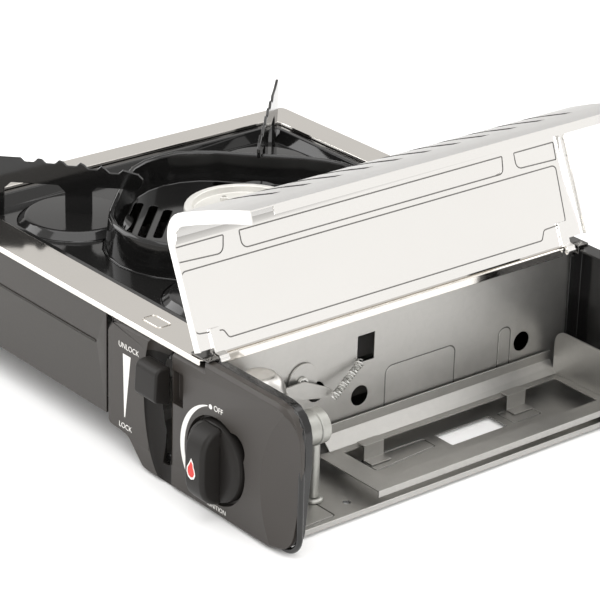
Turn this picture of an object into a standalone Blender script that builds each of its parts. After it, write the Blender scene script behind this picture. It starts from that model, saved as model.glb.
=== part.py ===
"""Two-plate folding camping stove: burner box on the left, cartridge bay with a hinged lid on the right.

Lengths are in millimetres and angles in degrees; every mesh is written in metres. Points are given from the
datum: the front end of the hinge line on the top plate, with X to the right, Y to the back and Z up.
"""

import math

import bmesh
import bpy
from mathutils import Matrix, Vector

MM = 0.001

# Overall sizes
BURNER_WIDTH = 278.0  # left edge of the top plate to the hinge line
BAY_WIDTH = 78.0  # hinge line to the right edge of the control panel
DEPTH = 275.0
HEIGHT = 84.0  # ground to the top plate
KNOB_PROUD = 15.0  # knob's grip ahead of the control panel's face

# Sheet and gaps
SHEET = 0.8
GAP = 0.3  # between pieces that touch
END_PLATE = 1.0

# Burner box
BOX_CLEARANCE = 20.0  # ground to the burner box
PLATE_OVERHANG = 1.2
PLATE_LIP = 3.5
PLATE_CORNER = 5.0
HINGE_LIP = 4.8
OPENING_SIDE = 16.0  # border at the left
OPENING_FRONT = 23.0
OPENING_BACK = 19.0
OPENING_HINGE = 22.0
OPENING_CORNER = 9.0
LEDGE_DROP = 3.0
LEDGE_WIDTH = 4.0
FLOOR_FLANGE = 12.0
PAN_STEP = -58.0  # where the pan drops from the box's floor to the bay's

# Control panel
PANEL_LEFT = 85.0  # its left edge, from the hinge line
PANEL_FACE_DEPTH = 6.0
PANEL_BEVEL = 2.0
PANEL_CORNER = 16.0
PANEL_LOW_CORNER = 12.0
RIM_DEPTH = 4.7
RIM_WALL = 1.2
NOTCH_WIDTH = 7.0  # for the lid hinges
KNOB_X, KNOB_Z = 12.5, -52.0
KNOB_RADIUS = 23.0
KNOB_RECESS = 4.5
SLOT_LEFT, SLOT_RIGHT = 46.0, 25.0
SLOT_TOP, SLOT_BOTTOM = -14.0, -70.0

# Cartridge bay
PARTITION_SET_BACK = 1.4
BAY_FLOOR_WIDTH = 60.0
BAY_LIP = 3.2
SOCKET_X, SOCKET_Z = 33.0, -38.0
SOCKET_RADIUS = 9.0
SOCKET_END = 53.0
REGULATOR_X, REGULATOR_Y = 15.4, 26.0
CAP_RADIUS = 15.4
CAP_BASE, CAP_TOP = -22.0, -8.0

# Carriage
CARRIAGE_TOP = -73.5
CARRIAGE_SHEET = 0.9
CARRIAGE_LEFT, CARRIAGE_RIGHT = 7.0, 58.0
CARRIAGE_FRONT, CARRIAGE_BACK = 74.0, 252.0
WINDOW_LEFT, WINDOW_RIGHT = 12.0, 47.0
WINDOW_FRONT, WINDOW_BACK = 88.0, 246.0
CARRIAGE_STROKE = 8.0
STOP_TOP = -46.5

# Lid, drawn closed about its hinge pin
HINGE_X, HINGE_Z = 1.8, -1.5
LID_OPEN = 114.0
LID_FOOT = 4.0
LID_RISE = 3.9
LID_REACH = 79.8
LID_CORNER = 16.0
LID_DROP = 73.4
LID_TAPER = 5.0
LID_FRONT_OVERHANG = 1.2
LOUVRES = 11
LOUVRE_START = 36.0
LOUVRE_PITCH = 20.6
LOUVRE_LEVEL = -27.0  # middle of the slots, below the hinge pin with the lid closed
LID_LIP = 5.0
LID_WALL_LIP = 7.0
PIN_RADIUS = 0.85
BORE_RADIUS = 0.95
KNUCKLE_RADIUS = 1.7

# Lever
LEVER_X = -35.0
LEVER_SHEET = 2.4
LEVER_PIVOT_Y, LEVER_PIVOT_Z = 38.0, -43.0
LEVER_REACH = 44.0
LEVER_SWING = 48.0
CRANK = 10.0
DRIVE_PIN = 1.2
CRADLE_LEFT, CRADLE_RIGHT = -49.0, -22.0

# Burner and tray
BURNER_RADIUS = 36.0
BURNER_TOP = 7.5
BOWL_RADIUS = 33.0
BOWL_DEPTH = 30.0
TRAY_FLOOR = -8.5
GUARD_HALF = 75.0
GUARD_CORNER = 47.0
GUARD_FOOT = 2.5  # how far the guard's wall leans out at its foot
GUARD_TOP = 12.0
VENTURI_RADIUS = 9.0
FIN_SHEET = 1.8
FIN_TOP = 28.6
FIN_RISE = 2.0  # at the outer end
FIN_DIP = 6.0  # at the inner end
FIN_INNER, FIN_OUTER = 60.0, 160.0

# Worked out
LEFT = -BURNER_WIDTH
FLOOR = -HEIGHT
BOX_FLOOR = FLOOR + BOX_CLEARANCE
BACK = DEPTH
BURNER_X = (LEFT + OPENING_SIDE - OPENING_HINGE) / 2
BURNER_Y = (OPENING_FRONT + BACK - OPENING_BACK) / 2
OPENING_HALF_X = (BURNER_WIDTH - OPENING_SIDE - OPENING_HINGE) / 2
OPENING_HALF_Y = (BACK - OPENING_FRONT - OPENING_BACK) / 2
LEVER_REST = LEVER_SWING / 2
PLATE_Y0 = PANEL_FACE_DEPTH + GAP  # face of the end plate behind the control panel
RIM_END = PLATE_Y0 + RIM_DEPTH
REAR_RIM = BACK - 0.5 - END_PLATE - RIM_DEPTH - 4.3

for leftover in list(bpy.data.objects):
    bpy.data.objects.remove(leftover, do_unlink=True)


# ---------------------------------------------------------------- outlines


def arc(cx, cy, radius, start, end, steps):
    """Points along an arc, in degrees anticlockwise."""
    turn = (end - start) / steps
    return [
        (
            cx + radius * math.cos(math.radians(start + turn * i)),
            cy + radius * math.sin(math.radians(start + turn * i)),
        )
        for i in range(steps + 1)
    ]


def rounded(corners, steps=4):
    """A polygon whose corners (x, y, radius) are rounded."""
    points = []
    for i, (x, y, radius) in enumerate(corners):
        here = Vector((x, y))
        if radius <= 0:
            points.append((x, y))
            continue
        before = (Vector(corners[i - 1][:2]) - here).normalized()
        after = (Vector(corners[(i + 1) % len(corners)][:2]) - here).normalized()
        half = before.angle(after) / 2
        centre = here + (before + after).normalized() * (radius / math.sin(half))
        start = here + before * (radius / math.tan(half)) - centre
        end = here + after * (radius / math.tan(half)) - centre
        swing = start.angle_signed(end)
        for k in range(steps + 1):
            turned_by = Matrix.Rotation(-swing * k / steps, 2)
            point = centre + turned_by @ start
            points.append((point.x, point.y))
    return points


def box_outline(x0, y0, x1, y1, radius=0.0, steps=4):
    return rounded([(x0, y0, radius), (x1, y0, radius), (x1, y1, radius), (x0, y1, radius)], steps)


def squircle(half_x, half_y, radius, turn=0.0, steps=6):
    """A rounded rectangle about the burner's axis, turned by an angle."""
    centred = box_outline(-half_x, -half_y, half_x, half_y, radius, steps)
    spin = Matrix.Rotation(math.radians(turn), 2)
    spun = [spin @ Vector(p) for p in centred]
    return [(BURNER_X + p.x, BURNER_Y + p.y) for p in spun]


def inset(outline, distance):
    """The outline of an anticlockwise polygon moved inwards."""
    moved = []
    count = len(outline)
    for i in range(count):
        a, b, c = (Vector(outline[(i + k) % count]) for k in (-1, 0, 1))
        one = (b - a).normalized()
        two = (c - b).normalized()
        first = Vector((-one.y, one.x))
        second = Vector((-two.y, two.x))
        middle = (first + second).normalized()
        moved.append(tuple(b + middle * (distance / max(0.3, middle.dot(first)))))
    return moved


def strip(path, wall):
    """A closed outline of a bent sheet: the path, and the path moved to its left by the wall."""
    moved = []
    for i, point in enumerate(path):
        here = Vector(point)
        sides = []
        if i > 0:
            along = (here - Vector(path[i - 1])).normalized()
            sides.append(Vector((-along.y, along.x)))
        if i < len(path) - 1:
            along = (Vector(path[i + 1]) - here).normalized()
            sides.append(Vector((-along.y, along.x)))
        middle = sum(sides, Vector((0, 0))).normalized()
        moved.append(tuple(here + middle * (wall / middle.dot(sides[0]))))
    return list(path) + moved[::-1]


def panel_outline():
    """The control panel and both end plates share this profile; X and Z, anticlockwise."""
    right = BAY_WIDTH
    return rounded(
        [
            (-PANEL_LEFT, -12.0, 3.0),
            (-PANEL_LEFT, FLOOR + 15.0, 4.0),
            (-66.0, FLOOR + 13.5, 6.0),
            (-52.0, FLOOR, 8.0),
            (right - 22.0, FLOOR, 6.0),
            (right - 5.0, FLOOR + 5.0, PANEL_LOW_CORNER),
            (right, -30.0, 60.0),
            (right - 1.0, 0.0, PANEL_CORNER),
            (0.6, 0.0, 0.0),
            (0.6, -PLATE_LIP - 0.7, 0.0),
            (-PANEL_LEFT + 5.0, -PLATE_LIP - 0.7, 2.0),
        ]
    )


def bay_outline():
    """The part of the same profile right of the partition."""
    left = -1.0
    under_plate = -PLATE_LIP - 1.3
    kept = [p for p in panel_outline() if p[0] > 0.61]
    return [(left, FLOOR)] + kept + [(0.6, 0.0), (0.6, under_plate), (left, under_plate)]


# ---------------------------------------------------------------- solids

AXES = {
    "X": lambda a, b, level: (level, a, b),
    "Y": lambda a, b, level: (a, level, b),
    "Z": lambda a, b, level: (a, b, level),
}


def to_object(bm, name):
    bmesh.ops.recalc_face_normals(bm, faces=bm.faces)
    mesh = bpy.data.meshes.new(name)
    bm.to_mesh(mesh)
    bm.free()
    made = bpy.data.objects.new(name, mesh)
    bpy.context.scene.collection.objects.link(made)
    return made


def loft(name, rings):
    """A solid through rings of equal count; the first and last are capped."""
    bm = bmesh.new()
    rows = [[bm.verts.new(p) for p in ring] for ring in rings]
    count = len(rows[0])
    for low, high in zip(rows, rows[1:]):
        for i in range(count):
            bm.faces.new((low[i], low[(i + 1) % count], high[(i + 1) % count], high[i]))
    bm.faces.new(rows[0][::-1])
    bm.faces.new(rows[-1])
    return to_object(bm, name)


def prism(name, outline, low, high, axis="Z"):
    place = AXES[axis]
    return loft(name, [[place(a, b, level) for a, b in outline] for level in (low, high)])


def block(name, low, high):
    return prism(name, box_outline(low[0], low[1], high[0], high[1]), low[2], high[2])


def turned(name, profile, centre, axis="Z", sides=24):
    """A solid of revolution; the profile is (radius, height) from one end of the axis to the other."""
    bm = bmesh.new()
    place = AXES[axis]
    rows = []
    for radius, height in profile:
        if radius <= 0:
            rows.append([bm.verts.new(place(0, 0, height))])
            continue
        rows.append([bm.verts.new(place(*p, height)) for p in arc(0, 0, radius, 0, 360, sides)[:-1]])
    for low, high in zip(rows, rows[1:]):
        for i in range(sides):
            j = (i + 1) % sides
            ends = [low[i % len(low)], low[j % len(low)], high[j % len(high)], high[i % len(high)]]
            bm.faces.new(list(dict.fromkeys(ends)))
    if len(rows[0]) > 1:
        bm.faces.new(rows[0])
    if len(rows[-1]) > 1:
        bm.faces.new(rows[-1])
    made = to_object(bm, name)
    made.data.transform(Matrix.Translation(centre))
    return made


def rod(name, centre, radius, low, high, axis="Y", sides=16):
    return turned(name, [(radius, low), (radius, high)], centre, axis, sides)


def ring_section(name, profile, centre, axis="Z", sides=24):
    """A turned solid with a hole through it; the profile (radius, height) is a closed loop."""
    bm = bmesh.new()
    place = AXES[axis]
    rows = [[bm.verts.new(place(*p, h)) for p in arc(0, 0, r, 0, 360, sides)[:-1]] for r, h in profile]
    for k, row in enumerate(rows):
        after = rows[(k + 1) % len(rows)]
        for i in range(sides):
            j = (i + 1) % sides
            bm.faces.new((row[i], row[j], after[j], after[i]))
    made = to_object(bm, name)
    made.data.transform(Matrix.Translation(centre))
    return made


def combine(target, tool, operation):
    """Applies one exact Boolean and removes the tool."""
    modifier = target.modifiers.new(operation, "BOOLEAN")
    modifier.operation = operation
    modifier.solver = "EXACT"
    modifier.object = tool
    graph = bpy.context.evaluated_depsgraph_get()
    result = bpy.data.meshes.new_from_object(target.evaluated_get(graph))
    target.modifiers.clear()
    target.data = result
    bpy.data.objects.remove(tool, do_unlink=True)
    return target


def cut(target, tool):
    return combine(target, tool, "DIFFERENCE")


def join(target, tool):
    return combine(target, tool, "UNION")


def drill(target, centre, radius, low, high, axis, sides=16):
    return cut(target, rod("drill", centre, radius, low, high, axis, sides))


# ---------------------------------------------------------------- placing and painting


def empty(name, at, turn_y=0.0, parent=None):
    made = bpy.data.objects.new(name, None)
    made.location = [c * MM for c in at]
    made.rotation_euler = (0.0, math.radians(turn_y), 0.0)
    made.parent = parent
    bpy.context.scene.collection.objects.link(made)
    return made


DATUM = empty(
    "datum", ((BURNER_WIDTH - BAY_WIDTH) / 2, -(DEPTH - KNOB_PROUD) / 2, HEIGHT)
)
STOVE = empty("stove", (0, 0, 0), parent=DATUM)
TRAY = empty("tray_seat", (BURNER_X, BURNER_Y, 0), parent=DATUM)
LID = empty("lid_hinge", (HINGE_X, 0, HINGE_Z), -LID_OPEN, DATUM)
KNOB = empty("knob_axis", (KNOB_X, 0, KNOB_Z), parent=DATUM)
LEVER = empty("lever_pivot", (LEVER_X, LEVER_PIVOT_Y, LEVER_PIVOT_Z), parent=DATUM)
CARRIAGE = empty("carriage_slide", (SOCKET_X, CARRIAGE_FRONT, CARRIAGE_TOP), parent=DATUM)

PAINTS = {
    "stainless": ((0.72, 0.71, 0.69), 0.22, 1.0),
    "galvanised": ((0.62, 0.62, 0.59), 0.42, 1.0),
    "zinc_casting": ((0.55, 0.54, 0.52), 0.45, 1.0),
    "dark_paint": ((0.085, 0.078, 0.07), 0.45, 0.0),
    "black_steel": ((0.02, 0.02, 0.02), 0.4, 0.0),
    "panel_plastic": ((0.075, 0.07, 0.065), 0.55, 0.0),
    "knob_plastic": ((0.012, 0.012, 0.012), 0.35, 0.0),
    "enamel": ((0.012, 0.012, 0.012), 0.08, 0.0),
    "burner_metal": ((0.78, 0.77, 0.75), 0.5, 0.6),
    "brass": ((0.7, 0.55, 0.25), 0.35, 1.0),
    "rubber": ((0.02, 0.02, 0.02), 0.8, 0.0),
    "ceramic": ((0.85, 0.83, 0.78), 0.4, 0.0),
    "spring_steel": ((0.6, 0.6, 0.6), 0.3, 1.0),
}


def paint(made, finish):
    colour, roughness, metallic = PAINTS[finish]
    material = bpy.data.materials.new(made.name)
    material.use_nodes = True
    shader = material.node_tree.nodes["Principled BSDF"]
    shader.inputs["Base Color"].default_value = (*colour, 1.0)
    shader.inputs["Roughness"].default_value = roughness
    shader.inputs["Metallic"].default_value = metallic
    made.data.materials.clear()
    made.data.materials.append(material)


def keep(made, finish, body=STOVE, closed_frame=False):
    """Scales a finished piece to metres, gives it its finish and hangs it on its body."""
    origin = Vector((0, 0, 0)) if closed_frame else Vector(body.location) / MM
    made.data.transform(Matrix.Scale(MM, 4) @ Matrix.Translation(-origin))
    made.data.shade_smooth()
    made.data.set_sharp_from_angle(angle=math.radians(35))
    paint(made, finish)
    made.parent = body
    return made


def wire(name, points, radius, finish, body=STOVE, resolution=2):
    """A bent rod or wire through a list of points."""
    curve = bpy.data.curves.new(name, "CURVE")
    curve.dimensions = "3D"
    curve.bevel_depth = radius * MM
    curve.bevel_resolution = resolution
    curve.use_fill_caps = True
    spline = curve.splines.new("POLY")
    spline.points.add(len(points) - 1)
    origin = Vector(body.location) / MM
    for slot, point in zip(spline.points, points):
        slot.co = (*((Vector(point) - origin) * MM), 1.0)
    made = bpy.data.objects.new(name, curve)
    bpy.context.scene.collection.objects.link(made)
    paint(made, finish)
    made.parent = body
    return made


def smooth_path(knots, steps=6):
    """Points on a Catmull-Rom curve through the knots."""
    ends = [knots[0]] + list(knots) + [knots[-1]]
    path = []
    for a, b, c, d in zip(ends, ends[1:], ends[2:], ends[3:]):
        a, b, c, d = (Vector(k) for k in (a, b, c, d))
        for i in range(steps):
            t = i / steps
            bend = (2 * a - 5 * b + 4 * c - d) * t**2
            twist = (3 * b - a - 3 * c + d) * t**3
            path.append(0.5 * (2 * b + (c - a) * t + bend + twist))
    path.append(Vector(knots[-1]))
    return [tuple(p) for p in path]


# ---------------------------------------------------------------- burner box


def make_body_shell():
    inner = PLATE_OVERHANG + SHEET
    top = -SHEET - GAP
    shell = prism(
        "body_shell",
        rounded(
            [
                (LEFT + PLATE_OVERHANG, PLATE_OVERHANG, 4), (-3.0, PLATE_OVERHANG, 0),
                (-3.0, BACK - PLATE_OVERHANG, 0), (LEFT + PLATE_OVERHANG, BACK - PLATE_OVERHANG, 4),
            ],
        ),
        BOX_FLOOR,
        top,
    )
    hollow = prism(
        "hollow",
        rounded(
            [
                (LEFT + inner, inner, 3.2), (0, inner, 0), (0, BACK - inner, 0),
                (LEFT + inner, BACK - inner, 3.2),
            ],
        ),
        BOX_FLOOR + SHEET,
        5,
    )
    cut(shell, hollow)
    edge = inner + FLOOR_FLANGE
    cut(shell, block("underside", (LEFT + edge, edge, BOX_FLOOR - 5), (0, BACK - edge, BOX_FLOOR + 5)))
    cut(shell, block("bay_side", (PAN_STEP - 4, inner, BOX_FLOOR - 5), (0, BACK - inner, BOX_FLOOR + 5)))
    panel_seat = block("panel_seat", (-PANEL_LEFT - 1.5, -5, FLOOR), (0, RIM_END + 2, 5))
    cut(shell, panel_seat)
    keep(shell, "dark_paint")


def make_top_plate():
    plate = prism("top_plate", box_outline(LEFT, 0, 0, BACK, PLATE_CORNER), -PLATE_LIP, 0)
    inside = box_outline(LEFT + SHEET, SHEET, 5, BACK - SHEET, PLATE_CORNER - SHEET)
    cut(plate, prism("underside", inside, -PLATE_LIP - 5, -SHEET))
    join(plate, block("hinge_lip", (-SHEET, 17, -HINGE_LIP), (0, BACK - 17, -SHEET / 2)))
    drop = -LEDGE_DROP - SHEET
    join(
        plate,
        prism(
            "ledge", squircle(OPENING_HALF_X + SHEET, OPENING_HALF_Y + SHEET, OPENING_CORNER + SHEET), drop,
            -SHEET / 2,
        ),
    )
    cut(plate, prism("opening", squircle(OPENING_HALF_X, OPENING_HALF_Y, OPENING_CORNER), -LEDGE_DROP, 5))
    ledge_half = (OPENING_HALF_X - LEDGE_WIDTH, OPENING_HALF_Y - LEDGE_WIDTH)
    cut(plate, prism("ledge_opening", squircle(*ledge_half, OPENING_CORNER - 2), -20, 5))
    keep(plate, "stainless")


def make_bottom_pan():
    low = BOX_FLOOR + SHEET + GAP
    deep = FLOOR + 1.3
    left = LEFT + PLATE_OVERHANG + SHEET + 0.5
    profile = [
        (left, low + 7),
        (left, low),
        (PAN_STEP, low),
        (PAN_STEP + 7, deep),
        (BAY_FLOOR_WIDTH, deep),
        (BAY_FLOOR_WIDTH, deep + BAY_LIP),
    ]
    pan = prism("bottom_pan", strip(profile, SHEET), RIM_END + 1.0, REAR_RIM - 1.0, "Y")
    cut(pan, block("window", (13.7, 153, FLOOR - 5), (28.5, 194, FLOOR + 6)))
    drill(pan, (45, 63, 0), 2.2, FLOOR - 5, FLOOR + 6, "Z")
    drill(pan, (46, 214, 0), 2.2, FLOOR - 5, FLOOR + 6, "Z")
    keep(pan, "galvanised")


def make_partition():
    high = -PARTITION_SET_BACK
    wall = prism(
        "partition", box_outline(RIM_END + 0.4, FLOOR + 2.5, BACK - 3, high), high - SHEET, high, "X",
    )
    cut(wall, block("latch_window", (-9, 107, -31), (5, 119, -15)))
    for y in (109.6, 230.6):
        drill(wall, (0, y, -51), 6, -9, 5, "X")
    drill(wall, (0, 78.6, -40), 6, -9, 5, "X")
    drill(wall, (0, 24, -33), 4, -9, 5, "X")
    cut(wall, block("link_slot", (-9, 63, FLOOR), (5, 92, CARRIAGE_TOP + 1.5)))
    keep(wall, "galvanised")


def make_feet():
    for name, y in (("foot_front", 24.0), ("foot_back", BACK - 24.0)):
        profile = [(7.5, FLOOR), (8.5, FLOOR + 1), (9.5, BOX_FLOOR - 1), (9, BOX_FLOOR - GAP)]
        keep(turned(name, profile, (LEFT + 24, y, 0), sides=20), "rubber")


# ---------------------------------------------------------------- control panel and ends


def make_front_bezel():
    outline = panel_outline()
    rings = [
        [(x, 0, z) for x, z in inset(outline, PANEL_BEVEL)],
        [(x, PANEL_BEVEL, z) for x, z in outline],
        [(x, PANEL_FACE_DEPTH, z) for x, z in outline],
    ]
    bezel = loft("front_bezel", rings)
    cut(bezel, rod("recess", (KNOB_X, 0, KNOB_Z), KNOB_RADIUS + 1.6, -5, KNOB_RECESS, sides=40))
    drill(bezel, (KNOB_X, 0, KNOB_Z), 5, -5, 20, "Y")
    cut(bezel, block("slot", (-SLOT_LEFT, -5, SLOT_BOTTOM), (-SLOT_RIGHT, 20, SLOT_TOP)))
    cut(bezel, block("thumb_window", (-SLOT_RIGHT - 1, -5, -33), (-SLOT_RIGHT + 9, KNOB_RECESS, SLOT_TOP)))
    keep(bezel, "panel_plastic")


def make_end_plate(name, outline, face, rim_from, rim_to):
    """A pressed end plate: a flat face with a rim round it."""
    plate = prism(name, outline, min(face[0], rim_from), max(face[1], rim_to), "Y")
    inside = inset(outline, RIM_WALL)
    if rim_to > face[1]:
        cut(plate, prism("dish", inside, face[1], rim_to + 5, "Y"))
    else:
        cut(plate, prism("dish", inside, rim_from - 5, face[0], "Y"))
    return plate


def make_end_plates():
    face = (PLATE_Y0, PLATE_Y0 + END_PLATE)
    front = make_end_plate("front_end_plate", panel_outline(), face, face[0], RIM_END)
    drill(front, (KNOB_X, 0, KNOB_Z), 5, 0, 20, "Y")
    cut(front, block("slot", (-SLOT_LEFT, 0, SLOT_BOTTOM), (-SLOT_RIGHT, RIM_END - 2, SLOT_TOP)))
    cut(front, block("hinge_notch", (0, PLATE_Y0 + END_PLATE + 0.1, -4.6), (NOTCH_WIDTH, RIM_END + 5, 5)))
    keep(front, "black_steel")
    back_face = (BACK - 0.5 - END_PLATE, BACK - 0.5)
    rear = make_end_plate("rear_end_plate", bay_outline(), back_face, REAR_RIM, back_face[1])
    cut(rear, block("hinge_notch", (0, REAR_RIM - 5, -4.6), (NOTCH_WIDTH, REAR_RIM + 4, 5)))
    keep(rear, "black_steel")


# ---------------------------------------------------------------- gas train


def make_regulator():
    body = prism("regulator_body", box_outline(4, 12, 39.5, 38, 2), -50, -23.5)
    join(body, rod("valve_boss", (KNOB_X, 0, KNOB_Z), 8, 9, 36, sides=20))
    join(body, rod("flange", (REGULATOR_X, REGULATOR_Y, 0), CAP_RADIUS, -25, CAP_BASE - GAP, "Z", 28))
    drill(body, (KNOB_X, 0, KNOB_Z), 3.1, 5, 16, "Y")
    keep(body, "zinc_casting")

    mid = (CAP_BASE + CAP_TOP) / 2
    dome = [
        (0, CAP_BASE), (CAP_RADIUS, CAP_BASE), (CAP_RADIUS, CAP_BASE + 1.2),
        (CAP_RADIUS - 1, CAP_BASE + 1.6),
    ]
    dome += [
        (CAP_RADIUS - 1.6, mid - 1), (CAP_RADIUS - 3.4, mid + 3.5), (CAP_RADIUS - 6.5, CAP_TOP - 0.6),
        (CAP_RADIUS - 9, CAP_TOP), (0, CAP_TOP),
    ]
    keep(turned("regulator_cap", dome, (REGULATOR_X, REGULATOR_Y, 0), sides=28), "stainless")

    screw = turned(
        "regulator_screw", [(0, -23.2), (3.2, -23.2), (3.2, -21.6), (2.4, -21), (0, -21)], (33.5, 31, 0),
        sides=12,
    )
    keep(screw, "spring_steel")

    start = 38 + GAP
    profile = [
        (5.2, start),
        (SOCKET_RADIUS, start),
        (SOCKET_RADIUS, SOCKET_END - 6),
        (SOCKET_RADIUS + 0.9, SOCKET_END - 5.4),
        (SOCKET_RADIUS + 0.9, SOCKET_END),
        (5.2, SOCKET_END),
    ]
    keep(ring_section("cartridge_socket", profile, (SOCKET_X, 0, SOCKET_Z), "Y", 28), "zinc_casting")
    seal = [(2.2, start), (4.9, start), (4.9, start + 3), (2.2, start + 3)]
    keep(ring_section("socket_seal", seal, (SOCKET_X, 0, SOCKET_Z), "Y", 20), "rubber")
    keep(rod("valve_push_pin", (SOCKET_X, 0, SOCKET_Z), 1.4, start, start + 9, "Y", 12), "brass")

    base = FLOOR + 1.3 + SHEET + GAP
    post_top = SOCKET_Z - SOCKET_RADIUS - 0.9 - GAP
    keep(rod("support_post", (SOCKET_X, 50, 0), 2.8, base + 2.3, post_top, "Z"), "zinc_casting")
    keep(
        turned("post_foot", [(5.2, base), (5.2, base + 1.2), (4, base + 2)], (SOCKET_X, 50, 0), sides=20),
        "zinc_casting",
    )


def make_gas_line():
    mouth = Vector((-14.0, 62.0, -24.0))
    heading = Vector((BURNER_X - mouth.x, BURNER_Y - mouth.y, 0))
    reach = heading.length - BOWL_RADIUS - 0.5
    heading.normalize()
    start = 4 - GAP
    jet = mouth - heading * 4
    route = smooth_path(
        [
            (start, 24, -33), (-4, 24, -33), (-9, 28, -31), (-7.5, 44, -27),
            tuple(jet - heading * 6 + Vector((1, -1, 0))), tuple(jet - heading * 1.2),
        ],
        4,
    )
    wire("gas_pipe", route, 2.0, "brass")

    turn = Matrix.Rotation(math.atan2(heading.y, heading.x), 4, "Z")
    profile = [
        (VENTURI_RADIUS - 1, 12), (VENTURI_RADIUS + 0.4, 0), (VENTURI_RADIUS + 1.4, 0),
        (VENTURI_RADIUS, 13), (VENTURI_RADIUS, reach), (VENTURI_RADIUS - 1, reach),
    ]
    venturi = ring_section("venturi_tube", profile, (0, 0, 0), "X", 20)
    venturi.data.transform(Matrix.Translation(mouth) @ turn)
    keep(venturi, "galvanised")
    nozzle = turned("gas_nozzle", [(3.4, -3.6), (3.4, 1), (1.6, 5)], (0, 0, 0), "X", 6)
    nozzle.data.transform(Matrix.Translation(jet + heading * 3) @ turn)
    keep(nozzle, "brass")


# ---------------------------------------------------------------- burner


def make_burner():
    at = (BURNER_X, BURNER_Y, 0)
    rim = BURNER_RADIUS
    step = rim - 4.5
    cap = turned(
        "burner_cap",
        [
            (0, -1.5), (BOWL_RADIUS + 1, -1.5), (rim, 0), (rim, BURNER_TOP - 1), (rim - 1, BURNER_TOP),
            (step, BURNER_TOP), (step - 0.8, BURNER_TOP - 4), (0, BURNER_TOP - 4),
        ],
        at,
        sides=40,
    )
    keep(cap, "burner_metal")
    top = -1.5 - GAP
    low = top - BOWL_DEPTH
    bowl = turned(
        "burner_bowl",
        [
            (0, low), (BOWL_RADIUS - 8, low), (BOWL_RADIUS, low + 8), (BOWL_RADIUS, top),
            (BOWL_RADIUS - 1.2, top), (BOWL_RADIUS - 1.2, low + 8.6), (BOWL_RADIUS - 8.6, low + 1.2),
            (0, low + 1.2),
        ],
        at, sides=32,
    )
    keep(bowl, "galvanised")
    foot_top = low - GAP
    foot_low = BOX_FLOOR + 2 * SHEET + 2 * GAP
    keep(rod("burner_pedestal", at, 11, foot_low, foot_top, "Z", 20), "galvanised")
    for index, angle in enumerate((100, 190, 280)):
        offset = Vector((math.cos(math.radians(angle)), math.sin(math.radians(angle)), 0)) * 17
        post = [
            (2.4, BURNER_TOP - 4 + GAP), (2.4, BURNER_TOP + 0.5), (1.9, BURNER_TOP + 1),
            (0, BURNER_TOP + 1),
        ]
        keep(turned(f"burner_rivet_{index + 1}", post, Vector(at) + offset, sides=12), "burner_metal")


def make_igniter():
    keep(rod("piezo_igniter", (-15, 17, 0), 4.5, -62, -30, "Z"), "knob_plastic")
    side = BOWL_RADIUS + 2.2 + GAP
    tip = (BURNER_X + side * 0.17, BURNER_Y - side * 0.985, 0)
    keep(turned("electrode_ceramic", [(2.2, -30), (2.2, -12.5), (1.4, -11.5)], tip, sides=12), "ceramic")
    route = smooth_path(
        [
            (-15, 17, -29.4), (-16, 18, -19), (-30, 36, -17), (-60, 60, -22), (-100, 80, -40),
            (tip[0] + 3, tip[1] - 2, -43), (tip[0], tip[1], -30.6),
        ],
        5,
    )
    wire("igniter_lead", route, 1.0, "rubber")


# ---------------------------------------------------------------- drip tray and pan supports


def pressed_sheet(name, rings):
    """A sheet through rings (outline, height) from the outside in, thickened downwards."""
    bm = bmesh.new()
    rows = []
    for outline, level in rings:
        away = [abs(math.atan2(y - BURNER_Y, x - BURNER_X) + math.radians(45.0)) for x, y in outline]
        start = away.index(min(away))
        rows.append([bm.verts.new((x, y, level)) for x, y in outline[start:] + outline[:start]])
    count = len(rows[0])
    for outer, inner in zip(rows, rows[1:]):
        for i in range(count):
            j = (i + 1) % count
            bm.faces.new((outer[i], outer[j], inner[j], inner[i]))
    made = to_object(bm, name)
    if made.data.polygons[0].normal.z < 0:
        made.data.flip_normals()
    wall = made.modifiers.new("wall", "SOLIDIFY")
    wall.thickness = SHEET
    wall.offset = -1.0
    wall.use_even_offset = True
    graph = bpy.context.evaluated_depsgraph_get()
    made.data = bpy.data.meshes.new_from_object(made.evaluated_get(graph))
    made.modifiers.clear()
    return made


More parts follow.
